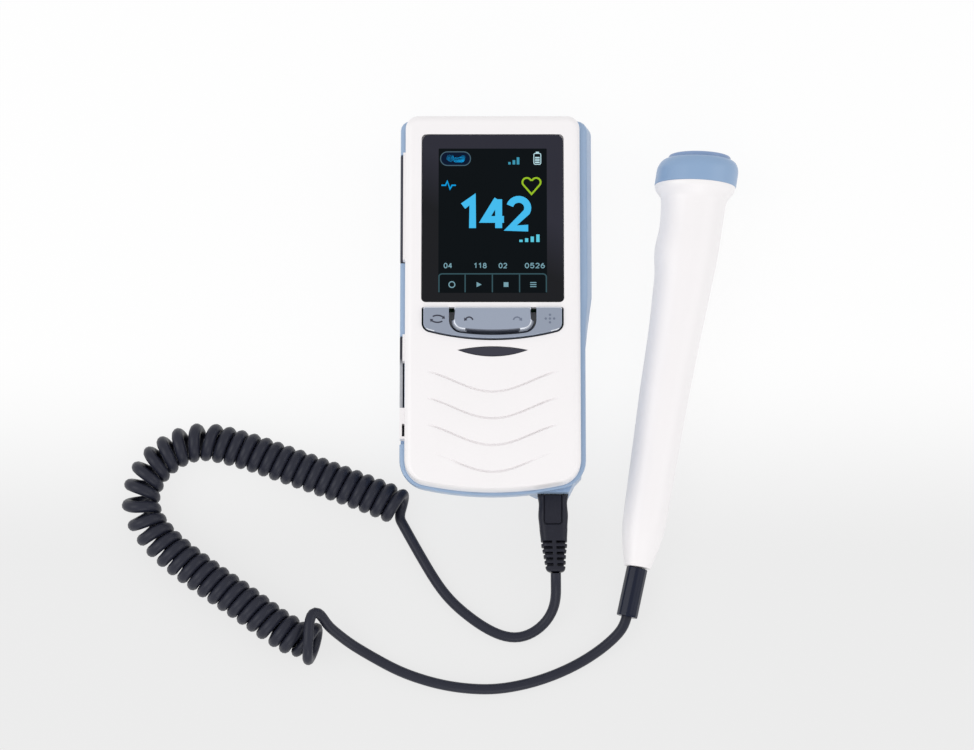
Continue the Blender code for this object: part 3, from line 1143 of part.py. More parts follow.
def formed(made):
    """Give a turned piece of the probe the handle's bow, its thumb rest on the left and the slant of its head."""
    for vertex in made.data.vertices:
        x, y, z = vertex.co
        share = z / HANDLE_L
        radius = max(math.hypot(x, y), SEAM / 30)
        bow = math.sin(math.pi * min(max((share - BOW_LOW_SHARE) / (1 - BOW_LOW_SHARE), 0.0), 1.0))
        rest = ease(1 - abs(share - THUMB_REST_SHARE) / THUMB_REST_HALF_SHARE)
        slant = ease((share - SLANT_LOW_SHARE) / (1 - SLANT_LOW_SHARE))
        vertex.co.x = x + BOW * bow + THUMB_REST * rest * min(x / radius, 0.0)
        vertex.co.z = z + HEAD_SLANT_SHARE * x * slant
    return made


def handle_solid(name, finish):
    """The handle's outer form, hollow for the board."""
    outer = [(radius, along) for along, radius in reversed(HANDLE_STATIONS)]
    solid = formed(turned(name, [(0, HANDLE_L)] + outer + [(0, 0)], finish))
    mouth_r = HANDLE_STATIONS[-1][1] - 2 * HANDLE_WALL
    hollow = [(0, HANDLE_L + OVERRUN), (mouth_r, HANDLE_L + OVERRUN)]
    hollow += [(max(radius - HANDLE_WALL, CORD_D / 2 + SEAM), along) for radius, along in outer[2:-1]]
    hollow += [(CORD_D / 2 + SEAM, -OVERRUN), (0, -OVERRUN)]
    cut(solid, formed(turned(name + "_hollow", hollow)))
    return solid


def relief_point(along):
    """A point of the strain relief's centre line, which the cord's pull leans a little off the probe's axis."""
    return Vector((-math.sin(RELIEF_LEAN) * along, 0, -RELIEF_ROOT - math.cos(RELIEF_LEAN) * along))


def relief_ring(along, radius):
    """One round level of the strain relief."""
    centre = relief_point(along)
    across = Vector((math.cos(RELIEF_LEAN), 0, -math.sin(RELIEF_LEAN)))
    steps = TURN_STEPS // 2
    return [centre + across * radius * math.cos(2 * math.pi * step / steps)
            + Vector((0, radius * math.sin(2 * math.pi * step / steps), 0)) for step in range(steps)]


def build_probe():
    """Probe: two handle halves, head ring, acoustic face, crystals, backing, board and strain relief."""
    reach = HANDLE_L * 2
    for name, side in (("probe_handle_lower", 1), ("probe_handle_upper", -1)):
        half = handle_solid(name, "white_plastic")
        edges = sorted((side * HANDLE_SPLIT, side * reach))
        keep(half, box(name + "_side", (-reach, edges[0], -reach), (reach, edges[1], reach), parent=PROBE_AXIS))
        smooth(half)
    base = HANDLE_L + SEAM
    top = base + HEAD_L
    inner = HEAD_R - HEAD_WALL
    seat = top - FACE_T + FACE_PROUD
    outer = [(HEAD_R - HEAD_ROUND_W * (1 - math.sin(turn)), top - HEAD_ROUND_H * (1 - math.cos(turn)))
             for turn in (0, math.pi / 8, math.pi / 4, 3 * math.pi / 8, math.pi / 2)]
    bore = FACE_R - HEAD_WALL / 2
    ring = [(FACE_R + SEAM, top)] + outer
    ring += [(HEAD_R, base), (inner, base), (inner, seat - SEAM - HEAD_LEDGE), (bore, seat - SEAM - HEAD_LEDGE),
             (bore, seat - SEAM), (FACE_R + SEAM, seat - SEAM)]
    smooth(formed(turned("probe_head_ring", ring, "blue_plastic", closed=True)))
    face_top = top + FACE_PROUD
    face = [(0, face_top), (FACE_R / 2, face_top - FACE_DOME / 4), (FACE_R - FACE_DOME, face_top - FACE_DOME),
            (FACE_R, face_top - 2 * FACE_DOME), (FACE_R, seat), (0, seat)]
    smooth(formed(turned("acoustic_face", face, "blue_plastic")))
    crystal_top = seat - SEAM
    crystal_low = crystal_top - CRYSTAL_T
    for name, side in (("crystal_transmit", -1), ("crystal_receive", 1)):
        crystal = formed(rod(name, CRYSTAL_R, (0, 0, crystal_low), (0, 0, crystal_top), "ceramic", TURN_STEPS,
                             PROBE_AXIS))
        edges = sorted((side * CRYSTAL_SPLIT / 2, side * reach))
        keep(crystal, box(name + "_side", (edges[0], -reach, 0), (edges[1], reach, reach), parent=PROBE_AXIS))
    backing_top = crystal_low - SEAM
    formed(rod("crystal_backing", CRYSTAL_R, (0, 0, backing_top - BACKING_T), (0, 0, backing_top), "silicone",
               TURN_STEPS, PROBE_AXIS))
    board_top = PROBE_BOARD_LOW + PROBE_BOARD_L
    board_x = handle_radius(PROBE_BOARD_LOW) - HANDLE_WALL - SEAM
    box("probe_board", (-board_x, -PROBE_BOARD_T / 2, PROBE_BOARD_LOW),
        (board_x, PROBE_BOARD_T / 2, board_top), "board_green", PROBE_AXIS)
    levels = [(0.0, RELIEF_R), (RELIEF_L - RELIEF_ROUND, RELIEF_R),
              (RELIEF_L - RELIEF_ROUND / 3, RELIEF_R - RELIEF_ROUND / 3), (RELIEF_L, RELIEF_R - RELIEF_ROUND)]
    smooth(loft("probe_relief", [relief_ring(*level) for level in levels], "cord_rubber", PROBE_AXIS))


def centre_assembly():
    """Put the origin under the middle of the box of the monitor and the probe, cord left out."""
    bpy.context.view_layer.update()
    depsgraph = bpy.context.evaluated_depsgraph_get()
    cord = ("lead_cord", "curly_cord", "tail_cord", "plug_body", "plug_shell")
    places = []
    for made in PARTS.objects:
        if made.type == "EMPTY" or made.name in cord:
            continue
        shown = made.evaluated_get(depsgraph)
        places += [shown.matrix_world @ vertex.co for vertex in shown.data.vertices]
    low = [min(place[axis] for place in places) for axis in range(3)]
    high = [max(place[axis] for place in places) for axis in range(3)]
    ASSEMBLY.location = (-(low[0] + high[0]) / 2, -(low[1] + high[1]) / 2, 0)
    print("box of monitor and probe, mm:", [round((top - bottom) / MM, 3) for bottom, top in zip(low, high)])
    print("lowest point, mm: %.4f" % (low[2] / MM))
    print("assembly moved by, mm:", [round(value / MM, 4) for value in ASSEMBLY.location])


def main():
    """Build every piece and centre the whole."""
    smooth(build_rear_cover())
    build_front_cover()
    build_display()
    build_keys()
    build_board()
    build_screws()
    build_battery()
    build_speaker()
    build_side()
    build_probe_socket()
    plug_end_y = build_plug()
    place_probe()
    build_probe()
    build_cord(plug_end_y)
    centre_assembly()


main()
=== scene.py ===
"""Looks of a hand-held fetal doppler: monitor, curly cord and pencil probe on a pale table.

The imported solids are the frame. Cords, screen, keys and mouldings are added to them or take their place.
Lengths in the monitor's own frame are in millimetres, and spot() turns them into the model's metres.
"""
import math
from collections import namedtuple

import bmesh
import bpy
from bpy.props import FloatProperty, FloatVectorProperty, IntProperty, PointerProperty
from bpy.types import Operator, Panel, PropertyGroup
from mathutils import Matrix, Vector


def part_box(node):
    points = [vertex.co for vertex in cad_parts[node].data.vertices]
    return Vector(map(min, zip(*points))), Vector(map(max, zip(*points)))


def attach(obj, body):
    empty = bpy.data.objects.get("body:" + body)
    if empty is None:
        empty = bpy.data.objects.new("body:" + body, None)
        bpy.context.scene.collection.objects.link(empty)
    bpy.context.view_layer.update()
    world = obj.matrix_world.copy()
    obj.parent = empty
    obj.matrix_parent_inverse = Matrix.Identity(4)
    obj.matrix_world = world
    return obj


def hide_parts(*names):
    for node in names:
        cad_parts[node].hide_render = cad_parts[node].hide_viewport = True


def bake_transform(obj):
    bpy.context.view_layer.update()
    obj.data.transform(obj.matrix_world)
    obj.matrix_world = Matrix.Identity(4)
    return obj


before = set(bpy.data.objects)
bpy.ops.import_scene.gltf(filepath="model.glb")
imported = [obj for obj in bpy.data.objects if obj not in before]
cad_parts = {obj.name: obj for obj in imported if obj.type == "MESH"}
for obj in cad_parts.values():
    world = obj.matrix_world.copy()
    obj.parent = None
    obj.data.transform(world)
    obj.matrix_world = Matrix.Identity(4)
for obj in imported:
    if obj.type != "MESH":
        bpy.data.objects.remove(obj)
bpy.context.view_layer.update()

bl_info = {
    "name": "Fetal doppler",
    "version": (1, 0, 0),
    "blender": (4, 5, 0),
    "location": "View3D > Sidebar > Doppler",
    "description": "Dresses a fetal doppler monitor and its probe",
    "category": "Object",
}

MM = 0.001
WINDOW_LOW, WINDOW_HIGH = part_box("display_window")
WINDOW_TOP_Y = 57.6
HOME = Vector(((WINDOW_LOW.x + WINDOW_HIGH.x) / 2, WINDOW_HIGH.y - WINDOW_TOP_Y * MM, 0))

# Sizes in millimetres
Plan = namedtuple("Plan", "half_w top bottom top_r bottom_r chin_r")
SEAM = 0.3
CUT_PAST = 5.0
CASE_T = 30.0
COVER = Plan(29.5, 64.8, -64.0, 4.4, 8.0, 109.0)
COVER_LOW_Z = 22.3
COVER_SKIN_Z = 27.6
COVER_WALL = 2.0
FACE_ROUND = 2.7
FACE_FORWARD = 0.8
SIDE_TABS = ((-30.3, 52.4, 15.1), (-30.3, -10.7, -19.83), (-31.2, -35.88, -46.4))
TAB_INNER_X = -28.5
POCKET_Z = CASE_T - 1.5
POCKET_R = 1.6
WINDOW = ((-23.8, -0.2), (23.8, 57.6))
WINDOW_GAP = 0.25
WINDOW_LEDGE = 3.2
KEY_OPENING = Plan(23.85, -2.15, -13.5, 0.6, 3.2, 84.6)
KEY = Plan(23.25, -2.25, -12.95, 0.6, 2.6, 84.0)
KEY_SLOT = Plan(14.65, -2.25, -11.8, 0.6, 4.4, 84.0)
KEY_LOW_Z = 26.0
KEY_TOP_Z = 31.0
ROCKER = Plan(14.3, -2.25, -11.55, 0.6, 4.2, 84.0)
ROCKER_NOTCH = (12.85, -6.4)
LENS_Y = -16.85
LENS_HALF = 11.65
LENS_RISES = (2.0, 1.05)
LENS_GAP = 0.25
WAVES = ((0.7, 1.0), (0.7, 1.0), (0.7, 1.0), (0.35, 0.25))
WAVE_FIRST_Y = -30.95
WAVE_PITCH = 9.067
WAVE_HALF_W = 24.0
WAVE_DEPTH = 0.95
WAVE_STEP = 0.38
WAVE_CLEAR = 0.15
PLUG_X = 20.3
PLUG_Z = 12.0
PLUG_FACE_Y = -63.45
PLUG_W = 10.3
PLUG_T = 7.6
PLUG_L = 25.8
PLUG_BOW = 0.9
SLIT_FIRST = 0.622
SLIT_PITCH = 0.0735
SLIT_HALF = 0.46
SLIT_WEB = 0.6
PLUG_STATIONS = (
    (0.0, 0.995, 0.96), (0.1, 0.925, 0.93), (0.26, 0.97, 0.95), (0.43, 0.913, 0.92),
    (0.587, 0.86, 0.88), (0.66, 0.845, 0.86), (0.74, 0.77, 0.82), (0.82, 0.72, 0.78), (0.9, 0.68, 0.74),
    (0.955, 0.645, 0.7), (0.985, 0.57, 0.63), (1.0, 0.45, 0.53))
HANDLE_L = 131.8
HEAD_R = 13.85
HEAD_L = 9.8
FACE_R = 10.55
FACE_RISE = 1.9
HEAD_SLANT = 0.118
PROBE_TAIL = (48.8, -86.8)
PROBE_TURN = math.radians(9.1)
RELIEF_LEAN = math.radians(3.2)
HANDLE_STATIONS = (
    (0.0, 0.332), (0.015, 0.357), (0.046, 0.426), (0.076, 0.487), (0.099, 0.516), (0.121, 0.531),
    (0.182, 0.545), (0.288, 0.567), (0.425, 0.599), (0.554, 0.632), (0.622, 0.65), (0.69, 0.686),
    (0.751, 0.713), (0.785, 0.736), (0.827, 0.755), (0.861, 0.763), (0.895, 0.769), (0.941, 0.787),
    (0.965, 0.809), (0.976, 0.859), (0.985, 0.924), (0.992, 0.968), (1.0, 0.986))
CORNER_STEPS = 14
CHIN_STEPS = 48
WAVE_STEPS = 96
HEAD_STEPS = 128
DOUBLED_POINTS = 0.000002

# The stage, in metres and watts
FADE_START = -0.085
FADE_LENGTH = 0.075
TABLE_SHARE = 0.9
WORLD_STRENGTH = 0.8
LAMP_SIZE = (0.9, 0.9)
LAMPS = (("left_lamp", (-1.0, -0.1, 0.95), 4.2), ("front_lamp", (0.1, -1.35, 0.65), 3.0),
         ("right_lamp", (1.2, 0.1, 0.65), 2.2))


def spot(x, y, z=0.0):
    """A place in the monitor's own frame, in millimetres, as a point of the model."""
    return HOME + Vector((x, y, z)) * MM


def paint(*levels):
    """A colour in a screen's levels from 0 to 255, as linear numbers."""
    return tuple(level / 255 / 12.92 if level < 11 else ((level / 255 + 0.055) / 1.055) ** 2.4
                 for level in levels)


def ease(share):
    """Smooth step from 0 to 1."""
    share = min(max(share, 0.0), 1.0)
    return share * share * (3 - 2 * share)


class Link:
    """One output of a node, on which Python's operators add the matching Math nodes."""

    def __init__(self, graph, output):
        self.graph = graph
        self.output = output

    def _math(self, operation, *values, clamp=False):
        return self.graph.node("ShaderNodeMath", {"operation": operation, "use_clamp": clamp},
                               dict(enumerate(values)))

    def __add__(self, other):
        return self._math("ADD", self, other)

    def __radd__(self, other):
        return self._math("ADD", other, self)

    def __sub__(self, other):
        return self._math("SUBTRACT", self, other)

    def __rsub__(self, other):
        return self._math("SUBTRACT", other, self)

    def __mul__(self, other):
        return self._math("MULTIPLY", self, other)

    def __rmul__(self, other):
        return self._math("MULTIPLY", other, self)

    def __truediv__(self, other):
        return self._math("DIVIDE", self, other)

    def __rtruediv__(self, other):
        return self._math("DIVIDE", other, self)

    def clamped(self):
        """The value held between 0 and 1."""
        return self._math("ADD", self, 0.0, clamp=True)


class Finish:
    """A material with its Principled shader, and the one method that adds any node to it."""

    def __init__(self, name, colour, roughness, metallic=0.0, **settings):
        self.material = bpy.data.materials.new(name)
        self.material.use_nodes = True
        self.tree = self.material.node_tree
        self.shader = self.tree.nodes["Principled BSDF"]
        self.set("Base Color", (*colour, 1.0))
        self.set("Roughness", roughness)
        self.set("Metallic", metallic)
        for socket, value in settings.items():
            self.set(socket.replace("_", " "), value)

    def set(self, socket, value):
        """Give one socket of the shader a value or a link."""
        self.feed(self.shader.inputs[socket], value)

    def feed(self, socket, value):
        """Set a socket's value, or link something to it."""
        if isinstance(value, Link):
            self.tree.links.new(value.output, socket)
        else:
            socket.default_value = value

    def node(self, kind, settings=None, inputs=None, output=0):
        """Add a node, set it up, fill its sockets and return one of its outputs."""
        made = self.tree.nodes.new(kind)
        for name, value in (settings or {}).items():
            setattr(made, name, value)
        for socket, value in (inputs or {}).items():
            self.feed(made.inputs[socket], value)
        return Link(self, made.outputs[output])

    def place(self):
        """Object coordinates in metres, which are the model's own for every piece."""
        return self.node("ShaderNodeTexCoord", output="Object")

    def along(self, axis):
        """One of the three object coordinates."""
        return self.node("ShaderNodeSeparateXYZ", None, {0: self.place()}, output=axis)

    def noise(self, scale, detail=2.0):
        """Noise between 0 and 1 at a scale in features a metre."""
        return self.node("ShaderNodeTexNoise", None,
                         {"Vector": self.place(), "Scale": scale, "Detail": detail})

    def mix(self, factor, first, second):
        """Mix two colours."""
        return self.node("ShaderNodeMix", {"data_type": "RGBA"}, {0: factor, 6: first, 7: second}, output=2)

    def bump(self, height, strength, distance):
        """Send a height to the shader's normal."""
        self.set("Normal", self.node("ShaderNodeBump", None, {"Height": height, "Strength": strength,
                                                              "Distance": distance}))

    def mottled(self, colour, amount, scale):
        """A colour that drifts a little, as moulded plastic does."""
        dark = [max(channel * (1 - amount), 0.0) for channel in colour]
        light = [min(channel * (1 + amount), 1.0) for channel in colour]
        return self.mix(self.noise(scale, 3.0), (*dark, 1.0), (*light, 1.0))

    def mottle(self, colour, amount, scale):
        """Send a drifting colour to the shader."""
        self.set("Base Color", self.mottled(colour, amount, scale))


def moulded(name, colour, roughness, grain=0.02, coat=0.0, level=0.5, drift=0.012):
    """Moulded plastic: a fine orange peel, a little drift in colour and gloss."""
    made = Finish(name, colour, roughness, Coat_Weight=coat, Coat_Roughness=0.12, Specular_IOR_Level=level)
    made.mottle(colour, drift, 60.0)
    made.set("Roughness", made.noise(900.0) * 0.08 + (roughness - 0.04))
    made.bump(made.noise(2600.0), grain, 0.0002)
    return made.material


def glowing(name, colour):
    """A lit mark of the screen, whose light varies with its fine dots."""
    made = Finish(name, (0.0, 0.0, 0.0), 0.6, Emission_Strength=1.0, Specular_IOR_Level=0.0)
    made.set("Emission Color", made.mottled(colour, 0.06, 3000.0))
    return made.material


def window_finish(sizes):
    """Smoked window with a painted reflection that greys its upper part, and fine swirls in its gloss."""
    made = Finish("smoked_window", sizes.window, 0.08, Specular_IOR_Level=0.2)
    # Painted reflection: the base colour turns greyer towards the window's upper right.
    upper = ((made.along(1) - HOME.y) / MM * 0.05 + (made.along(0) - HOME.x) / MM * 0.03 - 1.0).clamped()
    made.set("Base Color", made.mix(upper, made.mottled(sizes.window, 0.1, 40.0),
                                    made.mottled(sizes.window_painted_reflection, 0.1, 40.0)))
    made.set("Roughness", made.noise(300.0) * 0.05 + 0.06)
    made.bump(made.noise(400.0, 1.0), 0.01, 0.0001)
    return made.material


def silver_finish(name, colour):
    """Silver paint with fine flakes."""
    made = Finish(name, colour, 0.34, 0.55, Coat_Weight=0.2, Coat_Roughness=0.2)
    made.mottle(colour, 0.05, 9000.0)
    made.set("Roughness", made.noise(5000.0) * 0.12 + 0.3)
    made.bump(made.noise(7000.0), 0.06, 0.0001)
    return made.material


def port_finish():
    """Pale grey rubber port cover, with painted shade darkening its inner side and its upper part."""
    made = Finish("port_painted_shade", paint(52, 52, 62), 0.42, Specular_IOR_Level=0.35)
    # Painted shade: the rubber keeps its pale grey only on the outer face of its lower part, and is dark
    # elsewhere.
    outer = (((made.along(0) - HOME.x) / MM + 30.15) * -4.0).clamped()
    lower = (((made.along(1) - HOME.y) / MM + 18.0) * -0.4).clamped()
    made.set("Base Color", made.mix(outer * lower, made.mottled(paint(52, 52, 62), 0.1, 300.0),
                                    made.mottled(paint(176, 178, 184), 0.04, 300.0)))
    made.bump(made.noise(2600.0), 0.05, 0.0002)
    return made.material


def cord_finish(sizes):
    """Cord jacket: satin rubber with a fine drawn grain."""
    made = Finish("cord_jacket", sizes.cord_colour, 0.4, Coat_Weight=0.1, Coat_Roughness=0.3,
                  Specular_IOR_Level=0.24)
    made.mottle(sizes.cord_colour, 0.1, 400.0)
    made.set("Roughness", made.noise(1800.0) * 0.14 + 0.34)
    made.bump(made.noise(5000.0, 3.0), 0.08, 0.0001)
    return made.material


def steel_finish():
    """Plated steel with fine scratches."""
    made = Finish("plated_steel", (0.56, 0.57, 0.58), 0.28, 1.0)
    made.set("Roughness", made.noise(1500.0, 3.0) * 0.15 + 0.2)
    made.bump(made.noise(3000.0), 0.05, 0.0001)
    return made.material


def make_finishes(sizes):
    """Every finish of the model, by name."""
    plastics = {
        "white_plastic": (sizes.white, 0.36, 0.03, 0.1),
        "blue_plastic": (sizes.blue, 0.38, 0.04, 0.1),
        "ring_blue": (sizes.ring_blue, 0.36, 0.03, 0.1),
        "face_blue": (sizes.face_blue, 0.34, 0.03, 0.1),
        "dark_trim": (paint(66, 66, 78), 0.45, 0.05, 0.0, 0.3),
        "black_plastic": ((0.008, 0.008, 0.01), 0.4, 0.06, 0.0, 0.3),
        "plug_rubber": (sizes.plug_colour, 0.42, 0.1, 0.0, 0.22, 0.08),
        "relief_rubber": (sizes.relief_colour, 0.24, 0.04, 0.0, 0.26, 0.08),
        "cell_wrap": ((0.1, 0.16, 0.34), 0.35, 0.02),
        "solder_mask": ((0.03, 0.16, 0.07), 0.4, 0.05),
        "silicone": ((0.55, 0.56, 0.58), 0.55, 0.03),
        "ceramic": ((0.72, 0.66, 0.5), 0.4, 0.03),
        "lamp_resin": ((0.1, 0.45, 0.12), 0.2, 0.01),
        "smoked_lens": (sizes.lens, 0.24, 0.02, 0.0, 0.3, 0.06),
        "icon_ink": (paint(60, 62, 75), 0.5, 0.02, 0.0, 0.2, 0.05),
        "icon_faint": (paint(112, 120, 138), 0.5, 0.02, 0.0, 0.2, 0.05),
        "screen_glass": (paint(7, 13, 17), 0.3, 0.01, 0.0, 0.05, 0.1),
    }
    # The highlight and shaded silvers are painted highlights and painted shade for the keys' bevels.
    silvers = {"silver_paint": sizes.silver, "silver_rocker": [level * 1.1 for level in sizes.silver],
               "silver_painted_highlight": paint(226, 230, 238), "silver_shaded": paint(84, 88, 100)}
    lights = {"glow_blue": (70, 188, 238), "glow_icon": (20, 155, 220), "glow_navy": (14, 26, 48),
              "glow_line": (72, 98, 112), "glow_rule": (56, 84, 92), "glow_teal": (64, 150, 176),
              "glow_cyan": (92, 200, 222), "glow_pale": (186, 222, 230), "glow_green": (150, 190, 42),
              "glow_grey": (120, 160, 172)}
    made = {name: moulded(name, *values) for name, values in plastics.items()}
    made |= {name: silver_finish(name, colour) for name, colour in silvers.items()}
    made |= {name: glowing(name, paint(*levels)) for name, levels in lights.items()}
    return made | {"smoked_window": window_finish(sizes), "port_painted_shade": port_finish(),
                   "cord_jacket": cord_finish(sizes), "plated_steel": steel_finish()}


def dress(target, *names):
    """Give an object one or more finishes, in the order of the numbers on its faces."""
    slots = target.data.materials
    for index, name in enumerate(names):
        if index < len(slots):
            slots[index] = FINISHES[name]
        else:
            slots.append(FINISHES[name])


CAD_FINISHES = {
    "blue_plastic": ("rear_cover", "battery_door"), "smoked_window": ("display_window",),
    "screen_glass": ("display_module",), "solder_mask": ("main_board", "probe_board"),
    "silicone": ("key_mat", "crystal_backing"), "lamp_resin": ("status_lamp",),
    "black_plastic": ("loudspeaker", "probe_socket", "earphone_jack", "line_out_jack"),
    "cell_wrap": ("battery_pack",), "dark_trim": ("side_strip",), "port_painted_shade": ("port_cover",),
    "plated_steel": ("case_screw_1", "case_screw_2", "case_screw_3", "case_screw_4", "charging_socket",
                     "plug_shell"),
    "ceramic": ("crystal_transmit", "crystal_receive"),
}

LEAD_START = (21.2, -89.55, 12.0)
LEAD_ROUTE = (
    (21.1, -94.1, 10.8), (21.3, -97.4, 7.6), (20.3, -101.4, 4.8), (17.5, -105.6, 2.9),
    (12.3, -109.3, 1.9), (7.1, -110.4, 1.75), (1.7, -109.0, 1.75), (-3.8, -106.0, 1.75),
    (-9.2, -102.0, 1.75), (-14.7, -97.0, 1.75), (-19.2, -91.0, 1.75), (-23.1, -84.5, 1.75),
    (-26.6, -78.4, 1.75))
LEAD_END = (-29.3, -73.5, 1.75)
SPINE_ROUTE = (
    (-31.1, -66.5), (-35.8, -64.4), (-44.9, -60.8), (-57.0, -56.3), (-69.3, -51.9), (-80.2, -48.0),
    (-85.5, -46.4), (-91.5, -44.8), (-96.9, -43.9), (-101.7, -44.3), (-105.7, -45.6), (-109.6, -47.8),
    (-113.7, -51.2), (-116.8, -55.6), (-118.6, -60.7), (-118.9, -65.8), (-117.2, -70.8),
    (-114.6, -74.8), (-111.6, -78.3), (-108.4, -81.3), (-105.1, -84.0), (-101.7, -86.6), (-94.7, -91.6),
    (-87.2, -96.7), (-80.5, -101.4), (-73.8, -106.3), (-69.6, -108.9), (-64.0, -112.2))
LAST_CURL_SHARE = 0.25
LAST_CURL_ROUTE = (
    (-65.0, -115.5, 9.0), (-62.6, -112.8, 10.0), (-60.4, -109.0, 8.6), (-59.1, -106.5, 6.2),
    (-58.7, -106.5, 3.5), (-59.0, -109.2, 2.1), (-59.8, -112.7, 1.8), (-60.6, -115.3, 2.6),
    (-61.5, -117.9, 4.8), (-62.0, -119.0, 7.8), (-62.0, -118.5, 11.2), (-61.8, -116.1, 13.6),
    (-61.6, -112.7, 14.5), (-61.4, -108.8, 14.8), (-61.3, -105.4, 14.6), (-60.7, -102.7, 13.8),
    (-58.9, -102.0, 12.5), (-56.7, -104.3, 10.4))
TAIL_START = (-53.8, -108.1, 7.0)
TAIL_ROUTE = (
    (-48.3, -112.1, 3.5), (-41.0, -116.3, 1.75), (-31.2, -121.5, 1.75), (-20.4, -125.2, 1.75),
    (-10.3, -127.1, 1.75), (0.8, -127.5, 1.75), (11.9, -125.6, 1.75), (21.3, -122.5, 1.75),
    (29.1, -118.8, 1.75), (34.8, -115.3, 2.3), (39.2, -112.0, 3.3), (44.37, -107.2, 5.28))
TAIL_END = (45.11, -103.78, 5.48)
LINE_STEP = 1.6
LEAD_ROUNDS = 8
TAIL_ROUNDS = 6
JOINT_REACHES = (3, 5)


def smooth_line(points, steps=24):
    """Dense points of a smooth curve through a route's points."""
    knots = [Vector(point) for point in points]
    knots = [2 * knots[0] - knots[1]] + knots + [2 * knots[-1] - knots[-2]]
    line = []
    for before, start, end, after in zip(knots, knots[1:], knots[2:], knots[3:]):
        for step in range(steps):
            share = step / steps
            line.append(0.5 * (2 * start + (end - before) * share
                               + (2 * before - 5 * start + 4 * end - after) * share ** 2
                               + (3 * start - before - 3 * end + after) * share ** 3))
    return line + [knots[-2]]


def evenly(line, spacing):
    """Points at even distances along a dense line, ends included."""
    lengths = [0.0]
    for one, other in zip(line, line[1:]):
        lengths.append(lengths[-1] + (other - one).length)
    count = max(2, round(lengths[-1] / spacing))
    picked = []
    index = 0
    for step in range(count + 1):
        target = lengths[-1] * step / count
        while index < len(line) - 2 and lengths[index + 1] < target:
            index += 1
        share = (target - lengths[index]) / max(lengths[index + 1] - lengths[index], 1e-9)
        picked.append(line[index].lerp(line[index + 1], min(share, 1.0)))
    return picked


def relaxed(line, rounds):
    """A line whose inner points have been drawn towards their neighbours, round by round."""
    for _ in range(rounds):
        inner = [(before + 2 * point + after) / 4 for before, point, after in zip(line, line[1:], line[2:])]
        line = [line[0]] + inner + [line[-1]]
    return line


def cubic(start, start_run, end, end_run, t):
    """A place at a share of a smooth bend between two places, each with its direction and strength."""
    return ((2 * t ** 3 - 3 * t ** 2 + 1) * start + (t ** 3 - 2 * t ** 2 + t) * start_run
            + (3 * t ** 2 - 2 * t ** 3) * end + (t ** 3 - t ** 2) * end_run)


def curl_line(sizes):
    """Centre line of the curls: a helix round the spine whose pitch is held on the inner side of bends."""
    radius = sizes.curl_radius / MM
    pitch = sizes.curl_pitch / MM
    spine = evenly(smooth_line([(x, y, 0) for x, y in SPINE_ROUTE]), pitch / 16)
    step_length = (spine[1] - spine[0]).length
    headings = [(after - before).normalized() for before, after in zip(spine, spine[2:])]
    headings = [headings[0]] + headings + [headings[-1]]
    turns = [0.0]
    for one, other in zip(headings, headings[1:]):
        bend = one.angle(other) / step_length
        turns.append(turns[-1] + step_length / pitch * (1 - radius * bend))
    total = math.floor(turns[-1] - LAST_CURL_SHARE) + LAST_CURL_SHARE
    turns = [turn * total / turns[-1] for turn in turns]
    line = []
    index = 0
    for step in range(round(total * sizes.curl_points) + 1):
        turn = step / sizes.curl_points
        while index < len(turns) - 2 and turns[index + 1] < turn:
            index += 1
        share = (turn - turns[index]) / (turns[index + 1] - turns[index])
        place = spine[index].lerp(spine[index + 1], share)
        heading = headings[index].lerp(headings[index + 1], share).normalized()
        side = Vector((-heading.y, heading.x, 0))
        angle = 2 * math.pi * turn
        height = radius + sizes.curl_swell * sizes.cord_diameter / MM / 2 - radius * math.cos(angle)
        line.append(place - side * radius * math.sin(angle) + Vector((0, 0, height)))
    return line


def cord_line(sizes):
    """The cord's points from the plug through the curls to the probe, and where its curls begin and end."""
    diameter = sizes.cord_diameter / MM
    curls = curl_line(sizes)
    start = Vector(LEAD_START)
    lead_in = Vector(LEAD_END)
    lead_run = (lead_in - Vector(LEAD_ROUTE[-1])).normalized()
    lead_run.z = 0
    route = [start, start - Vector((0, diameter, 0))]
    for index, place in enumerate(LEAD_ROUTE):
        shift = (start.x - LEAD_ROUTE[0][0]) * (1 - index / len(LEAD_ROUTE))
        route.append(Vector(place) + Vector((shift, 0, 0)))
    route += [lead_in - lead_run * diameter, lead_in]
    lead = relaxed(evenly(smooth_line(route), LINE_STEP), LEAD_ROUNDS)
    entry = lead_in + lead_run * diameter
    reach = (curls[0] - entry).length
    curl_run = (curls[1] - curls[0]).normalized() * reach
    bend_in = [cubic(entry, lead_run * reach, curls[0], curl_run, step / 8) for step in range(8)]
    tail_out = Vector(TAIL_START)
    tail_run = (Vector(TAIL_ROUTE[0]) - tail_out).normalized() * diameter
    route = [curls[-3], curls[-1], *LAST_CURL_ROUTE, tail_out - tail_run, tail_out, tail_out + tail_run,
             *TAIL_ROUTE]
    opened = smooth_line(route)
    tail_in = Vector(TAIL_END)
    tail_in += (tail_in - Vector(TAIL_ROUTE[-1])).normalized() * diameter
    tail = opened[opened.index(curls[-1]):] + [Vector(TAIL_END), tail_in]
    line = lead + bend_in + curls + relaxed(evenly(tail, LINE_STEP), TAIL_ROUNDS)[1:]
    first = len(lead) + len(bend_in)
    last = first + len(curls)
    for reach in JOINT_REACHES:
        line[last - reach:last + reach] = relaxed(line[last - reach:last + reach], 2)
    return [spot(*point) for point in line], first, last


def arc(centre, radius, start, end, steps):
    """Points of an arc, angles in radians."""
    return [(centre[0] + radius * math.cos(start + (end - start) * step / steps),
             centre[1] + radius * math.sin(start + (end - start) * step / steps))
            for step in range(steps + 1)]


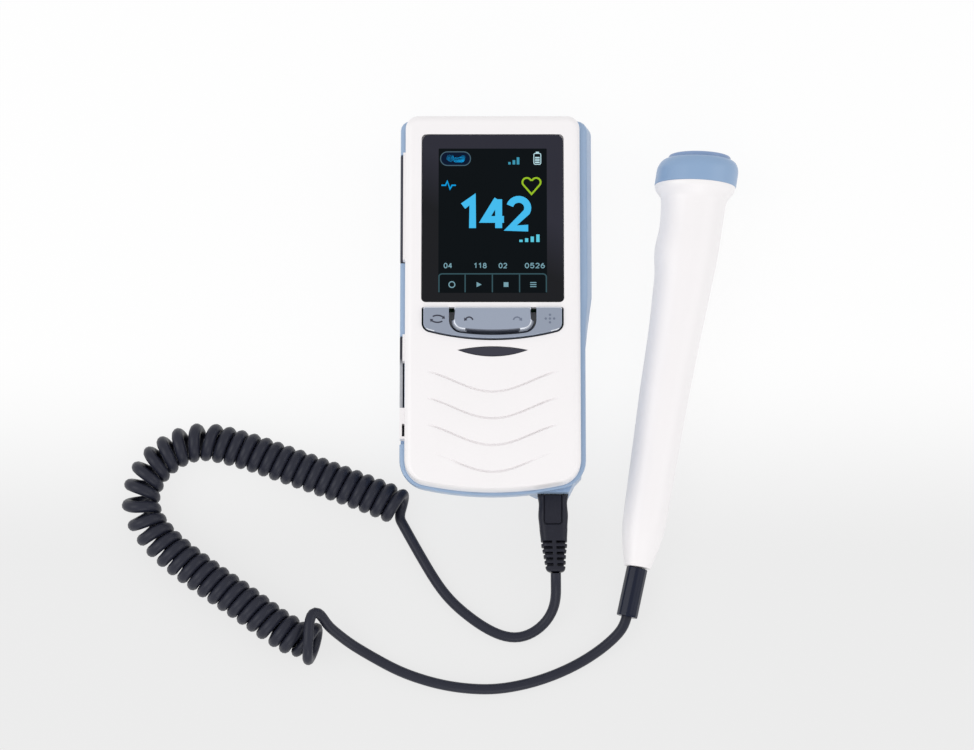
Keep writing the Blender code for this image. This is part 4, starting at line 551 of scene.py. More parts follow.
def plan_points(plan, inset=0.0):
    """Outline with straight sides, two top corners, two bottom corners and a shallow round chin."""
    half_w = plan.half_w - inset
    top = plan.top - inset
    top_r = max(plan.top_r - inset, SEAM)
    bottom_r = max(plan.bottom_r - inset, SEAM)
    chin_r = plan.chin_r - inset
    corner_x = half_w - bottom_r
    chin_y = plan.bottom + inset + chin_r
    lean = math.asin(corner_x / (chin_r - bottom_r))
    corner_y = chin_y - (chin_r - bottom_r) * math.cos(lean)
    quarter = math.pi / 2
    points = []
    for centre, radius, start, end in (((corner_x, corner_y), bottom_r, lean - quarter, 0),
                                       ((half_w - top_r, top - top_r), top_r, 0, quarter),
                                       ((top_r - half_w, top - top_r), top_r, quarter, 2 * quarter),
                                       ((-corner_x, corner_y), bottom_r, 2 * quarter, 3 * quarter - lean)):
        points += arc(centre, radius, start, end, CORNER_STEPS)
    return points + arc((0, chin_y), chin_r, -quarter - lean, -quarter + lean, CHIN_STEPS)[1:-1]


def rounded(low, high, radius, steps=6):
    """Outline of a rectangle with round corners."""
    points = []
    for turn, (x, y, side_x, side_y) in enumerate(((high[0], low[1], 1, -1), (high[0], high[1], 1, 1),
                                                   (low[0], high[1], -1, 1), (low[0], low[1], -1, -1))):
        start = (turn - 1) * math.pi / 2
        points += arc((x - side_x * radius, y - side_y * radius), radius, start, start + math.pi / 2, steps)
    return points


def level(outline, height):
    """Lift a flat outline to a height."""
    return [(x, y, height) for x, y in outline]


def linked(name, bm, to_model=spot):
    """Turn a bmesh in millimetres into an object of the model with its faces outwards."""
    for vert in bm.verts:
        vert.co = to_model(*vert.co)
    bmesh.ops.recalc_face_normals(bm, faces=bm.faces)
    mesh = bpy.data.meshes.new(name)
    bm.to_mesh(mesh)
    bm.free()
    made = bpy.data.objects.new(name, mesh)
    bpy.context.scene.collection.objects.link(made)
    return made


def skin(rings, closed=False):
    """A skin through rings, in which a ring of one point is a tip, capped unless its ends meet."""
    bm = bmesh.new()
    rows = [[bm.verts.new(point) for point in ring] for ring in rings]
    for row, upper in zip(rows, rows[1:] + rows[:1] if closed else rows[1:]):
        count = max(len(row), len(upper))
        for index in range(count):
            after = (index + 1) % count
            corners = [row[index % len(row)], row[after % len(row)], upper[after % len(upper)],
                       upper[index % len(upper)]]
            bm.faces.new(list(dict.fromkeys(corners)))
    if not closed:
        for row in (rows[0], rows[-1]):
            if len(row) > 2:
                bm.faces.new(row)
    return bm


def loft(name, rings, to_model=spot):
    """A closed skin through rings, as an object."""
    return linked(name, skin(rings), to_model)


def prism(name, outline, low, high):
    """An upright block with one outline."""
    return loft(name, [level(outline, low), level(outline, high)])


def block(name, low, high):
    """A box between two corners."""
    outline = [(low[0], low[1]), (high[0], low[1]), (high[0], high[1]), (low[0], high[1])]
    return prism(name, outline, low[2], high[2])


def bake(made):
    """Turn an object's modifiers into its own mesh."""
    bpy.context.view_layer.update()
    graph = bpy.context.evaluated_depsgraph_get()
    mesh = bpy.data.meshes.new_from_object(made.evaluated_get(graph))
    made.modifiers.clear()
    made.data = mesh


def combine(target, tool, operation="DIFFERENCE"):
    """Cut a tool out of an object, or join it on, and take the tool away."""
    modifier = target.modifiers.new(operation.lower(), "BOOLEAN")
    modifier.operation = operation
    modifier.solver = "EXACT"
    modifier.object = tool
    bake(target)
    bpy.data.objects.remove(tool)


def bevel(made, width, segments):
    """Round an object's edges, with a width in millimetres."""
    modifier = made.modifiers.new("round_edges", "BEVEL")
    modifier.width = width * MM
    modifier.segments = segments
    modifier.limit_method = "ANGLE"
    modifier.angle_limit = math.radians(40.0)


def smoothing_group(angle):
    """Node group that joins doubled points and shades smooth up to an angle."""
    name = "smooth_to_%d" % angle
    if name in bpy.data.node_groups:
        return bpy.data.node_groups[name]
    group = bpy.data.node_groups.new(name, "GeometryNodeTree")
    for way in ("INPUT", "OUTPUT"):
        group.interface.new_socket("Geometry", in_out=way, socket_type="NodeSocketGeometry")
    kinds = ("NodeGroupInput", "GeometryNodeMergeByDistance", "GeometryNodeSetShadeSmooth",
             "GeometryNodeSetShadeSmooth", "NodeGroupOutput", "GeometryNodeInputMeshEdgeAngle",
             "FunctionNodeCompare")
    start, joined, faces, edges, end, bend, sharp = [group.nodes.new(kind) for kind in kinds]
    joined.inputs["Distance"].default_value = DOUBLED_POINTS
    edges.domain = "EDGE"
    edges.inputs["Shade Smooth"].default_value = False
    sharp.operation = "GREATER_THAN"
    sharp.inputs["B"].default_value = math.radians(angle)
    for one, other in ((start, joined), (joined, faces), (faces, edges), (edges, end)):
        group.links.new(one.outputs[0], other.inputs["Geometry"])
    group.links.new(bend.outputs["Unsigned Angle"], sharp.inputs["A"])
    group.links.new(sharp.outputs[0], edges.inputs["Selection"])
    return group


def soften(made, angle=35):
    """Shade an object smooth up to an angle, with its large flat faces kept flat."""
    modifier = made.modifiers.new("smooth_by_angle", "NODES")
    modifier.node_group = smoothing_group(angle)
    weighted = made.modifiers.new("flat_faces", "WEIGHTED_NORMAL")
    weighted.keep_sharp = True
    weighted.weight = 60


def finish_piece(made, body, finishes, replaced=()):
    """Dress a piece, let it ride on its body and hide the solids it stands for."""
    dress(made, *finishes)
    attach(made, body)
    if replaced:
        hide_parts(*replaced)


class Marks:
    """Flat marks a hair thick on one surface, gathered in one mesh, each with its own finish."""

    def __init__(self, name, low, high):
        self.name = name
        self.heights = (low, high)
        self.bm = bmesh.new()
        self.finishes = []

    def _faces(self, rows, closed, finish):
        if finish not in self.finishes:
            self.finishes.append(finish)
        index = self.finishes.index(finish)
        made = []
        for row, other in zip(rows, rows[1:] + rows[:1] if closed else rows[1:]):
            for corner in range(len(row)):
                after = (corner + 1) % len(row)
                made.append(self.bm.faces.new((row[corner], row[after], other[after], other[corner])))
        if not closed:
            made += [self.bm.faces.new(rows[0]), self.bm.faces.new(rows[-1])]
        for face in made:
            face.material_index = index

    def patch(self, outline, finish):
        """A filled outline."""
        rows = [[self.bm.verts.new((x, y, height)) for x, y in outline] for height in self.heights]
        self._faces(rows, False, finish)

    def bar(self, low, high, finish):
        """A filled rectangle between two corners."""
        self.patch([low, (high[0], low[1]), high, (low[0], high[1])], finish)

    def stroke(self, points, width, finish, closed=False):
        """A line of one width through points."""
        places = [Vector(point) for point in points]
        low, high = self.heights
        rows = []
        for index, place in enumerate(places):
            before = places[index - 1] if index or closed else None
            after = places[(index + 1) % len(places)] if index < len(places) - 1 or closed else None
            one = (place - before).normalized() if before else None
            two = (after - place).normalized() if after else None
            run = ((one or two) + (two or one)).normalized()
            lean = max(run.dot(one or two), 0.5)
            across = Vector((-run.y, run.x)) * width / 2 / lean
            rows.append([self.bm.verts.new((*(place + aside), height)) for aside, height in
                         ((across, low), (-across, low), (-across, high), (across, high))])
        self._faces(rows, closed, finish)

    def disc(self, centre, radius, finish, steps=20):
        """A round spot."""
        self.patch(arc(centre, radius, 0, 2 * math.pi, steps)[:-1], finish)

    def number(self, text, low, high, width, finish, gap):
        """Digits in a row that fill a rectangle, with a gap between them as a share of a digit."""
        pitch = (high[0] - low[0] - width) / (len(text) - gap)
        for index, digit in enumerate(text):
            for line, closed in DIGITS[digit]:
                points = [(low[0] + width / 2 + (index + x * (1 - gap)) * pitch,
                           low[1] + width / 2 + y * (high[1] - low[1] - width)) for x, y in line]
                self.stroke(points, width, finish, closed)

    def finish(self, body, slot):
        """Turn all the marks into one piece that rides on a body."""
        finish_piece(linked(self.name, self.bm), body, self.finishes)


def bow(x, y, across, high, start, end, steps=10):
    """Points of part of an oval, angles in degrees."""
    return [(x + across * math.cos(turn), y + high * math.sin(turn)) for turn in
            (math.radians(start + (end - start) * step / steps) for step in range(steps + 1))]


DIGITS = {
    "0": ((bow(0.5, 0.5, 0.5, 0.5, 0, 360, 24)[:-1], True),),
    "1": (([(0.12, 0.76), (0.62, 1.0), (0.62, 0.0)], False),),
    "2": ((bow(0.5, 0.7, 0.48, 0.3, 165, -30, 12) + [(0.05, 0.0), (1.0, 0.0)], False),),
    "4": (([(0.72, 0.0), (0.72, 1.0)], False), ([(0.66, 1.0), (0.0, 0.3), (1.0, 0.3)], False)),
    "5": (([(0.95, 1.0), (0.16, 1.0), (0.08, 0.52)] + bow(0.46, 0.33, 0.52, 0.33, 110, -150, 14), False),),
    "6": ((bow(0.5, 0.32, 0.48, 0.32, 0, 360, 20)[:-1], True),
          (bow(0.9, 0.32, 0.88, 0.68, 180, 100, 8), False)),
    "8": ((bow(0.5, 0.76, 0.4, 0.24, 0, 360, 18)[:-1], True),
          (bow(0.5, 0.27, 0.5, 0.27, 0, 360, 20)[:-1], True)),
}


def wave_line(x):
    """How far a wave's line has risen at a distance from the middle."""
    return 7.3 * (1 - math.cos(math.pi * x / 26.0)) / 2


def wave_cut(index):
    """A wedge that is deep along the wave's line and runs out below it and at its ends."""
    core_end, tail = WAVES[index]
    high = CASE_T + CUT_PAST
    brim = CASE_T + SEAM
    rings = []
    for step in range(WAVE_STEPS + 1):
        share = 2 * step / WAVE_STEPS - 1
        x = WAVE_HALF_W * share
        line = WAVE_FIRST_Y - index * WAVE_PITCH + wave_line(x)
        core = 1 - ease((abs(share) - core_end) / 0.3)
        fade = (tail + (1 - tail) * core) * (1 - ease((abs(share) - 0.7) / 0.3))
        deep, floor = [CASE_T - depth * fade + WAVE_CLEAR * (1 - fade) for depth in (WAVE_DEPTH, WAVE_STEP)]
        rings.append([(x, line + aside, z) for aside, z in (
            (0.36, high), (0.36, brim), (0.2, deep), (-0.14, deep), (-0.42, floor), (-7.78, brim),
            (-7.78, high))])
    return loft("wave_cut", rings)


def lens_points(gap):
    """Almond of two arcs, grown by a gap."""
    half = LENS_HALF + gap
    points = []
    for rise, side in zip(LENS_RISES, (-1, 1)):
        rise += gap
        radius = (half * half + rise * rise) / (2 * rise)
        lean = math.asin(half / radius)
        middle = side * math.pi / 2
        points += arc((0, LENS_Y + side * (rise - radius)), radius, middle - lean, middle + lean, 24)[:-1]
    return points


class DOPPLER_OT_case(Operator):
    """Mould the white front cover with its openings and wave steps, and the indicator lens"""

    bl_idname = "doppler.case"
    bl_label = "Front cover"

    def execute(self, context):
        rings = [level(plan_points(COVER), COVER_LOW_Z)]
        for step in range(13):
            turn = math.pi / 2 * step / 12
            inset = FACE_ROUND * (1 - math.cos(turn))
            face = COVER._replace(bottom=COVER.bottom - FACE_FORWARD * inset)
            rings.append(level(plan_points(face, inset), CASE_T - FACE_ROUND * (1 - math.sin(turn))))
        cover = loft("front_moulding", rings)
        combine(cover, prism("hollow", plan_points(COVER, COVER_WALL), COVER_LOW_Z - CUT_PAST, COVER_SKIN_Z))
        for outer_x, high_y, low_y in SIDE_TABS:
            tab = block("tab", (outer_x, low_y, COVER_LOW_Z), (TAB_INNER_X, high_y, COVER_LOW_Z + 4))
            combine(cover, tab, "UNION")
        combine(cover, block("vent", (-30.4, -45.6, COVER_LOW_Z - 1), (-29.5, -41.3, COVER_LOW_Z + 5)))
        # A dark sheet under the vent slit: painted shade seen through the opening.
        vent_shade = block("vent_painted_shade", (-30.8, -46.0, COVER_LOW_Z - 0.25), (-29.3, -40.9, COVER_LOW_Z - 0.02))
        bevel(vent_shade, 0.05, 2)
        finish_piece(vent_shade, "monitor", ["dark_trim"])
        (left, bottom), (right, top) = WINDOW
        pocket = rounded((left - WINDOW_GAP, bottom - WINDOW_GAP), (right + WINDOW_GAP, top + WINDOW_GAP),
                         POCKET_R)
        combine(cover, prism("pocket", pocket, POCKET_Z, CASE_T + CUT_PAST))
        combine(cover, block("view", (left + WINDOW_LEDGE, bottom + WINDOW_LEDGE, COVER_SKIN_Z - CUT_PAST),
                             (right - WINDOW_LEDGE, top - WINDOW_LEDGE, CASE_T)))
        combine(cover, prism("opening", plan_points(KEY_OPENING), COVER_SKIN_Z - 3, CASE_T + CUT_PAST))
        combine(cover, prism("seat", lens_points(LENS_GAP), POCKET_Z, CASE_T + CUT_PAST))
        for index in range(len(WAVES)):
            combine(cover, wave_cut(index))
        soften(cover, 25)
        finish_piece(cover, "monitor", ["white_plastic"], ["front_cover"])
        almond = lens_points(0.0)
        rings = [level(almond, CASE_T - 1.2)]
        for share, height in ((1.0, -0.12), (0.985, 0.0), (0.9, 0.08), (0.7, 0.14), (0.4, 0.18)):
            rings.append([(x * share, LENS_Y + (y - LENS_Y) * share, CASE_T + height) for x, y in almond])
        lens = loft("almond_lens", rings + [[(0, LENS_Y, CASE_T + 0.2)]])
        soften(lens)
        finish_piece(lens, "monitor", ["smoked_lens"], ["indicator_lens"])
        return {"FINISHED"}


class DOPPLER_OT_screen(Operator):
    """Light the screen under its window: plain numbers, a heart, a battery and soft key fields"""

    bl_idname = "doppler.screen"
    bl_label = "Screen"

    def execute(self, context):
        area = Marks("screen_area", CASE_T + 0.01, CASE_T + 0.025)
        area.patch(rounded((-18.25, 2.74), (18.3, 52.8), 0.25), "screen_glass")
        area.finish("monitor", "display_black")
        marks = Marks("screen_marks", CASE_T + 0.03, CASE_T + 0.045)
        marks.patch(rounded((-17.6, 46.9), (-7.5, 51.65), 2.3), "glow_navy")
        marks.disc((-14.35, 49.5), 1.25, "glow_icon")
        marks.patch(rounded((-13.35, 48.0), (-9.5, 49.75), 0.85), "glow_icon")
        marks.patch([(-11.7, 49.6), (-9.3, 49.0), (-9.25, 50.35), (-10.3, 50.35)], "glow_icon")
        for left, right, top in ((5.3, 6.1, 48.1), (6.75, 7.65, 48.75), (8.15, 9.05, 49.75)):
            marks.bar((left, 47.25), (right, top), "glow_teal")
        marks.bar((14.6, 51.15), (15.65, 51.7), "glow_pale")
        for low in (47.75, 48.55, 49.35):
            marks.bar((14.35, low), (15.9, low + 0.5), "glow_pale")
        marks.number("142", (-11.9, 23.95), (13.15, 36.3), 2.35, "glow_blue", 0.22)
        pulse = [(-17.3, 40.0), (-15.9, 40.0), (-15.3, 41.4), (-14.4, 38.7), (-13.7, 40.0), (-12.4, 40.0)]
        marks.stroke(pulse, 0.5, "glow_icon")
        for index, high in enumerate((0.8, 1.3, 1.9, 2.6)):
            left = 9.0 + 1.9 * index
            marks.bar((left, 20.3), (left + 1.1, 20.3 + high), "glow_cyan")
        for text, left, right in (("04", -16.5, -13.6), ("118", -6.4, -2.0), ("02", 2.0, 4.9),
                                  ("0526", 10.8, 17.6)):
            marks.number(text, (left, 11.2), (right, 13.1), 0.33, "glow_grey", 0.35)
        frame_line = arc((-16.9, 7.9), 1.4, math.pi, math.pi / 2, 5)
        frame_line += arc((16.8, 7.9), 1.4, math.pi / 2, 0, 5)
        border = [(min(max(x, -18.05), 18.05), y) for x, y in frame_line]
        marks.stroke([(-18.05, 2.95), *border, (18.05, 2.95)], 0.42, "glow_rule")
        for x in (-9.25, -0.1, 9.05):
            marks.stroke([(x, 9.05), (x, 2.95)], 0.42, "glow_rule")
        marks.stroke(arc((-13.7, 5.6), 1.0, 0, 2 * math.pi, 18)[:-1], 0.35, "glow_grey", True)
        marks.patch([(-5.4, 4.7), (-3.7, 5.6), (-5.4, 6.5)], "glow_grey")
        marks.bar((3.7, 4.8), (5.3, 6.4), "glow_grey")
        for y in (4.9, 5.6, 6.3):
            marks.stroke([(12.6, y), (14.7, y)], 0.32, "glow_grey")
        marks.finish("monitor", "display_black")
        lines = Marks("screen_lines", CASE_T + 0.05, CASE_T + 0.065)
        lines.stroke(rounded((-17.6, 46.9), (-7.5, 51.65), 2.3), 0.33, "glow_line", True)
        lines.stroke(rounded((13.95, 47.3), (16.3, 51.1), 0.5), 0.28, "glow_pale", True)
        heart = bow(14.72, 41.05, 1.5, 1.5, 150, -42, 12) + [(13.14, 36.9)]
        left = [(26.28 - x, y) for x, y in bow(14.72, 41.05, 1.5, 1.5, -42, 150, 12)]
        lines.stroke(heart + left, 0.62, "glow_green", True)
        lines.finish("monitor", "display_black")
        return {"FINISHED"}


def arrow_marks(marks, centre, reach, start, end, ink="icon_ink", width=0.5, head=0.9):
    """A bent arrow: part of an oval with a head at its end, angles in degrees."""
    points = bow(*centre, *reach, start, end, 14)
    marks.stroke(points, width, ink)
    tip, before = Vector(points[-1]), Vector(points[-3])
    run = (tip - before).normalized()
    across = Vector((-run.y, run.x))
    side = across * head * 0.8
    marks.patch([tip + run * head, tip - side, tip + side], ink)


def notched(outline):
    """An outline whose upper part is cut back at both sides."""
    reach, height = ROCKER_NOTCH
    points = []
    for (x, y), (next_x, next_y) in zip(outline, outline[1:] + outline[:1]):
        points.append((max(min(x, reach), -reach) if y > height else x, y))
        if (y - height) * (next_y - height) < 0:
            step = [(x if y < height else next_x, height - 0.5), (math.copysign(reach, x), height)]
            points += step if y < height else step[::-1]
    return points


def tell_apart(made, rules):
    """Give the sloping faces that a rule picks by their place, in millimetres, the finish of its number:
    painted highlights and painted shade on the keys' bevels.
    """
    for face in made.data.polygons:
        place = (face.center - HOME) / MM
        if 0.1 < face.normal.z < 0.985:
            for index, rule in rules:
                if rule(abs(place.x), place.y):
                    face.material_index = index


class DOPPLER_OT_keys(Operator):
    """Mould the U-shaped key and the rocker, with their printed symbols"""

    bl_idname = "doppler.keys"
    bl_label = "Keys"

    def execute(self, context):
        outer = prism("u_key", plan_points(KEY), KEY_LOW_Z, KEY_TOP_Z)
        slot = [(x, y + 5 if y > KEY_SLOT.top - KEY_SLOT.top_r - SEAM else y)
                for x, y in plan_points(KEY_SLOT)]
        combine(outer, prism("slot", slot, KEY_LOW_Z - CUT_PAST, KEY_TOP_Z + CUT_PAST))
        bevel(outer, 0.3, 3)
        bake(outer)
        # Painted highlights: the key's top edge and lower outer corners get the bright silver.
        tell_apart(outer, ((1, lambda x, y: y > -2.9), (1, lambda x, y: x > 19.4 and y < -9.6)))
        soften(outer)
        finish_piece(outer, "mode_power_key", ["silver_paint", "silver_painted_highlight"],
                     ["mode_power_key"])
        rings = []
        for shrink, height in ((0.45, 26.0), (0.45, 29.35), (0.5, 29.6), (0.62, 29.8), (0.82, 30.2),
                               (1.1, 30.6), (1.28, 30.84), (1.5, 30.97), (1.75, 31.0)):
            plan = ROCKER._replace(top=ROCKER.top + shrink - max(shrink - 1.1, 0),
                                   top_r=ROCKER.top_r + shrink)
            rings.append(level(notched(plan_points(plan, shrink)), height))
        rocker = loft("rocker_key", rings)
        # Painted shade on all of the rocker's slopes, with painted highlights on its top edge and lower
        # corners.
        tell_apart(rocker, ((2, lambda x, y: True), (1, lambda x, y: y > -3.2),
                            (1, lambda x, y: x > 9.0 and y < -6.5)))
        soften(rocker, 50)
        finish_piece(rocker, "volume_key", ["silver_rocker", "silver_painted_highlight", "silver_shaded"],
                     ["volume_key"])
        ink = Marks("u_key_symbols", KEY_TOP_Z + 0.005, KEY_TOP_Z + 0.02)
        arrow_marks(ink, (-18.5, -6.4), (2.1, 1.2), 140, 30)
        arrow_marks(ink, (-18.5, -6.4), (2.1, 1.2), 320, 210)
        for x, y in ((19.2, -6.3), (17.8, -6.3), (20.6, -6.3), (19.2, -5.0), (19.2, -7.6)):
            ink.disc((x, y), 0.42, "icon_faint", 14)
        ink.finish("mode_power_key", "silver_key")
        ink = Marks("rocker_symbols", KEY_TOP_Z + 0.005, KEY_TOP_Z + 0.02)
        arrow_marks(ink, (-7.9, -7.0), (1.25, 1.2), 10, 150)
        arrow_marks(ink, (8.2, -7.0), (1.25, 1.2), 170, 30, "icon_faint")
        ink.finish("volume_key", "silver_key")
        return {"FINISHED"}


def plug_size(share):
    """Width and height of the plug moulding, as shares, at a share of its length."""
    for (start, *one), (end, *other) in zip(PLUG_STATIONS, PLUG_STATIONS[1:]):
        if share <= end:
            part = ease((share - start) / (end - start)) if share < 0.6 else (share - start) / (end - start)
            return [first + (second - first) * part for first, second in zip(one, other)]
    return PLUG_STATIONS[-1][1:]


def plug_ring(share):
    """One section of the plug moulding, with flats between wide chamfers."""
    wide, high = plug_size(share)
    half_w, half_h = PLUG_W * wide / 2, PLUG_T * high / 2
    outline = rounded((-half_w, -half_h), (half_w, half_h), 0.68 * half_h, 8)
    middle = PLUG_X + PLUG_BOW * share * share
    return [(middle + x, PLUG_FACE_Y - PLUG_L * share, PLUG_Z + z) for x, z in outline]


class DOPPLER_OT_plug(Operator):
    """Mould the plug with its bare panel and its slit strain relief"""

    bl_idname = "doppler.plug"
    bl_label = "Plug"

    def execute(self, context):
        shares = [step / 60 for step in range(59)] + [0.98, 0.99, 1.0]
        plug = loft("plug_moulding", [plug_ring(share) for share in shares])
        top = PLUG_Z + PLUG_T / 2
        face = PLUG_FACE_Y
        combine(plug, block("root", (PLUG_X - 3.8, face - 2.3, PLUG_Z - 1.9),
                            (PLUG_X + 3.8, face + CUT_PAST, PLUG_Z + 1.9)))
        for name, reach, low_z in (("groove", 3.15, top - 0.95), ("panel", 2.8, top - 0.45)):
            outline = rounded((PLUG_X - reach, face - 7.1 - reach), (PLUG_X + reach, face + 8), 1.2)
            tool = prism(name, outline, low_z, top + 3)
            if name == "groove":
                island = rounded((PLUG_X - 2.75, face - 9.75), (PLUG_X + 2.75, face + 6), 0.9)
                combine(tool, prism("island", island, low_z - 1, top - 0.4))
            combine(plug, tool)
        for index in range(5):
            share = SLIT_FIRST + index * SLIT_PITCH
            y = face - PLUG_L * share
            middle = PLUG_X + PLUG_BOW * share * share
            notch = PLUG_W / 2 * plug_size(share)[0] - SLIT_WEB
            for side in (-1, 1):
                outline = [(SLIT_WEB, 8), (11, 8), (11, -8), (SLIT_WEB, -8), (SLIT_WEB, -1.0), (notch, -1.0),
                           (notch, 1.0), (SLIT_WEB, 1.0)]
                rings = [[(middle + side * x, y + half, PLUG_Z + z) for x, z in outline]
                         for half in (-SLIT_HALF, SLIT_HALF)]
                combine(plug, loft("slit", rings))
        remesh = plug.modifiers.new("soft_moulding", "REMESH")
        remesh.mode = "VOXEL"
        remesh.voxel_size = 0.13 * MM
        remesh.use_smooth_shade = True
        relax = plug.modifiers.new("round_off", "SMOOTH")
        relax.factor = 0.5
        relax.iterations = 4
        thin = plug.modifiers.new("thin_out", "DECIMATE")
        thin.ratio = 0.35
        bake(plug)
        soften(plug, 60)
        finish_piece(plug, "cable", ["plug_rubber"], ["plug_body"])
        return {"FINISHED"}


def handle_radius(along):
    """The handle's radius at a distance from its tail, on a smooth curve through its stations."""
    stations = [(share * HANDLE_L, radius * HEAD_R) for share, radius in HANDLE_STATIONS]
    index = 0
    while index < len(stations) - 2 and along > stations[index + 1][0]:
        index += 1
    slopes = []
    for middle in (index, index + 1):
        low, high = max(middle - 1, 0), min(middle + 1, len(stations) - 1)
        slopes.append((stations[high][1] - stations[low][1]) / (stations[high][0] - stations[low][0]))
    (start, one), (end, other) = stations[index], stations[index + 1]
    run = end - start
    return cubic(one, run * slopes[0], other, run * slopes[1], (along - start) / run)


def probe_matrix():
    """The probe's own axes, laid on its head ring and the thick end of its handle."""
    slopes = [(HEAD_R - radius * HEAD_R) / (HANDLE_L + SEAM - share * HANDLE_L)
              for share, radius in HANDLE_STATIONS]
    lean = math.atan(min(slopes))
    tail_z = HEAD_R * math.cos(lean) - (HANDLE_L + SEAM) * math.sin(lean)
    sine, cosine = math.sin(PROBE_TURN), math.cos(PROBE_TURN)
    axis = Vector((sine * math.cos(lean), cosine * math.cos(lean), math.sin(lean)))
    across = Vector((cosine, -sine, 0))
    turned = Matrix((across, axis.cross(across), axis)).transposed().to_4x4()
    return Matrix.Translation((*PROBE_TAIL, tail_z)) @ turned


PROBE = probe_matrix()


def probe_spot(x, y, z):
    """A place on the straight probe, given its bow, its thumb rest and the slant of its head."""
    share = z / HANDLE_L
    radius = max(math.hypot(x, y), 0.01)
    arch = math.sin(math.pi * min(max((share - 0.455) / 0.545, 0.0), 1.0))
    rest = ease(1 - abs(share - 0.82) / 0.07)
    slant = ease((share - 0.895) / 0.105)
    aside = 0.5 * arch + 0.7 * rest * min(x / radius, 0.0) - 0.35 * slant
    return spot(*(PROBE @ Vector((x + aside, y, z + HEAD_SLANT * x * slant))))


def turned_rings(profile, steps=96):
    """Rings of a profile of (radius, height) points turned about the probe's axis."""
    rings = []
    for radius, height in profile:
        if radius < 0.001:
            rings.append([(0, 0, height)])
        else:
            rings.append(level(arc((0, 0), radius, 0, 2 * math.pi, steps)[:-1], height))
    return rings


class DOPPLER_OT_probe(Operator):
    """Mould the probe: two handle halves, head ring, acoustic face and strain relief"""

    bl_idname = "doppler.probe"
    bl_label = "Probe"

    def execute(self, context):
        places = [HANDLE_L * step / 90 for step in range(83)]
        places += [HANDLE_L * (0.915 + 0.085 * step / 34) for step in range(35)]
        tail_r = handle_radius(0.3)
        profile = [(0, 0.0), (tail_r - 0.3, 0.0), (tail_r - 0.1, 0.08)]
        profile += [(handle_radius(along), along) for along in places if along > 0.25]
        profile += [(0.986 * HEAD_R, HANDLE_L + 0.35), (0, HANDLE_L + 0.35)]
        for name, side in (("handle_upper", -1), ("handle_lower", 1)):
            bm = skin(turned_rings(profile))
            whole = bm.verts[:] + bm.edges[:] + bm.faces[:]
            cutting = bmesh.ops.bisect_plane(bm, geom=whole, plane_co=(0, side * 0.05, 0),
                                             plane_no=(0, side, 0), clear_inner=True)
            rim = [item for item in cutting["geom_cut"] if isinstance(item, bmesh.types.BMEdge)]
            bmesh.ops.contextual_create(bm, geom=rim)
            half = linked(name, bm, probe_spot)
            soften(half, 40)
            finish_piece(half, "probe", ["white_plastic"],
                         ["probe_handle_upper" if side < 0 else "probe_handle_lower"])
        base = HANDLE_L + 0.4
        top = HANDLE_L + SEAM + HEAD_L - 0.6
        ring = [(FACE_R + 0.1, top - 1.6), (FACE_R + 0.1, top - 0.12), (FACE_R + 0.22, top)]
        for step in range(15):
            turn = math.pi / 2 * step / 14
            ring.append((HEAD_R - 2.9 * (1 - math.sin(turn)), top - 4.5 * (1 - math.cos(turn))))
        ring += [(HEAD_R, base + 2.5), (HEAD_R, base + 0.25), (HEAD_R - 0.25, base), (HEAD_R - 2, base),
                 (HEAD_R - 2, top - 2.6), (FACE_R - 1, top - 2.6), (FACE_R - 1, top - 1.6)]
        head = linked("head_ring", skin(turned_rings(ring, HEAD_STEPS), True), probe_spot)
        soften(head, 40)
        finish_piece(head, "probe", ["ring_blue"], ["probe_head_ring"])
        face_top = top + FACE_RISE
        face = [(0, top - 1.3), (FACE_R, top - 1.3), (FACE_R, face_top - 1.0)]
        face += [(FACE_R - 0.55 * (1 - math.cos(turn)), face_top - 1.0 + 0.6 * math.sin(turn))
                 for turn in (math.pi / 2 * step / 6 for step in range(1, 7))]
        face += [(FACE_R * share, face_top - 0.4 * share ** 2) for share in (0.8, 0.6, 0.4, 0.2)]
        face.append((0, face_top))
        disc = linked("face_disc", skin(turned_rings(face, HEAD_STEPS)), probe_spot)
        soften(disc, 40)
        finish_piece(disc, "probe", ["face_blue"], ["acoustic_face"])
        sine, cosine = math.sin(RELIEF_LEAN), math.cos(RELIEF_LEAN)
        rings = []
        for along, radius in ((0.0, 3.3), (0.1, 3.48), (0.3, 3.55), (5.6, 3.55), (11.0, 3.55), (16.0, 3.55),
                              (16.6, 3.52), (16.75, 3.45), (16.8, 3.3)):
            ring = []
            for step in range(96):
                turn = 2 * math.pi * step / 96
                part = radius * (1 - 0.02 * (1 - math.cos(8 * turn)))
                x = cosine * part * math.cos(turn) - sine * along
                z = -SEAM - cosine * along - sine * part * math.cos(turn)
                ring.append((x, part * math.sin(turn), z))
            rings.append(ring)
        relief = loft("cord_relief", rings, lambda x, y, z: spot(*(PROBE @ Vector((x, y, z)))))
        soften(relief, 40)
        finish_piece(relief, "probe", ["relief_rubber"], ["probe_relief"])
        return {"FINISHED"}


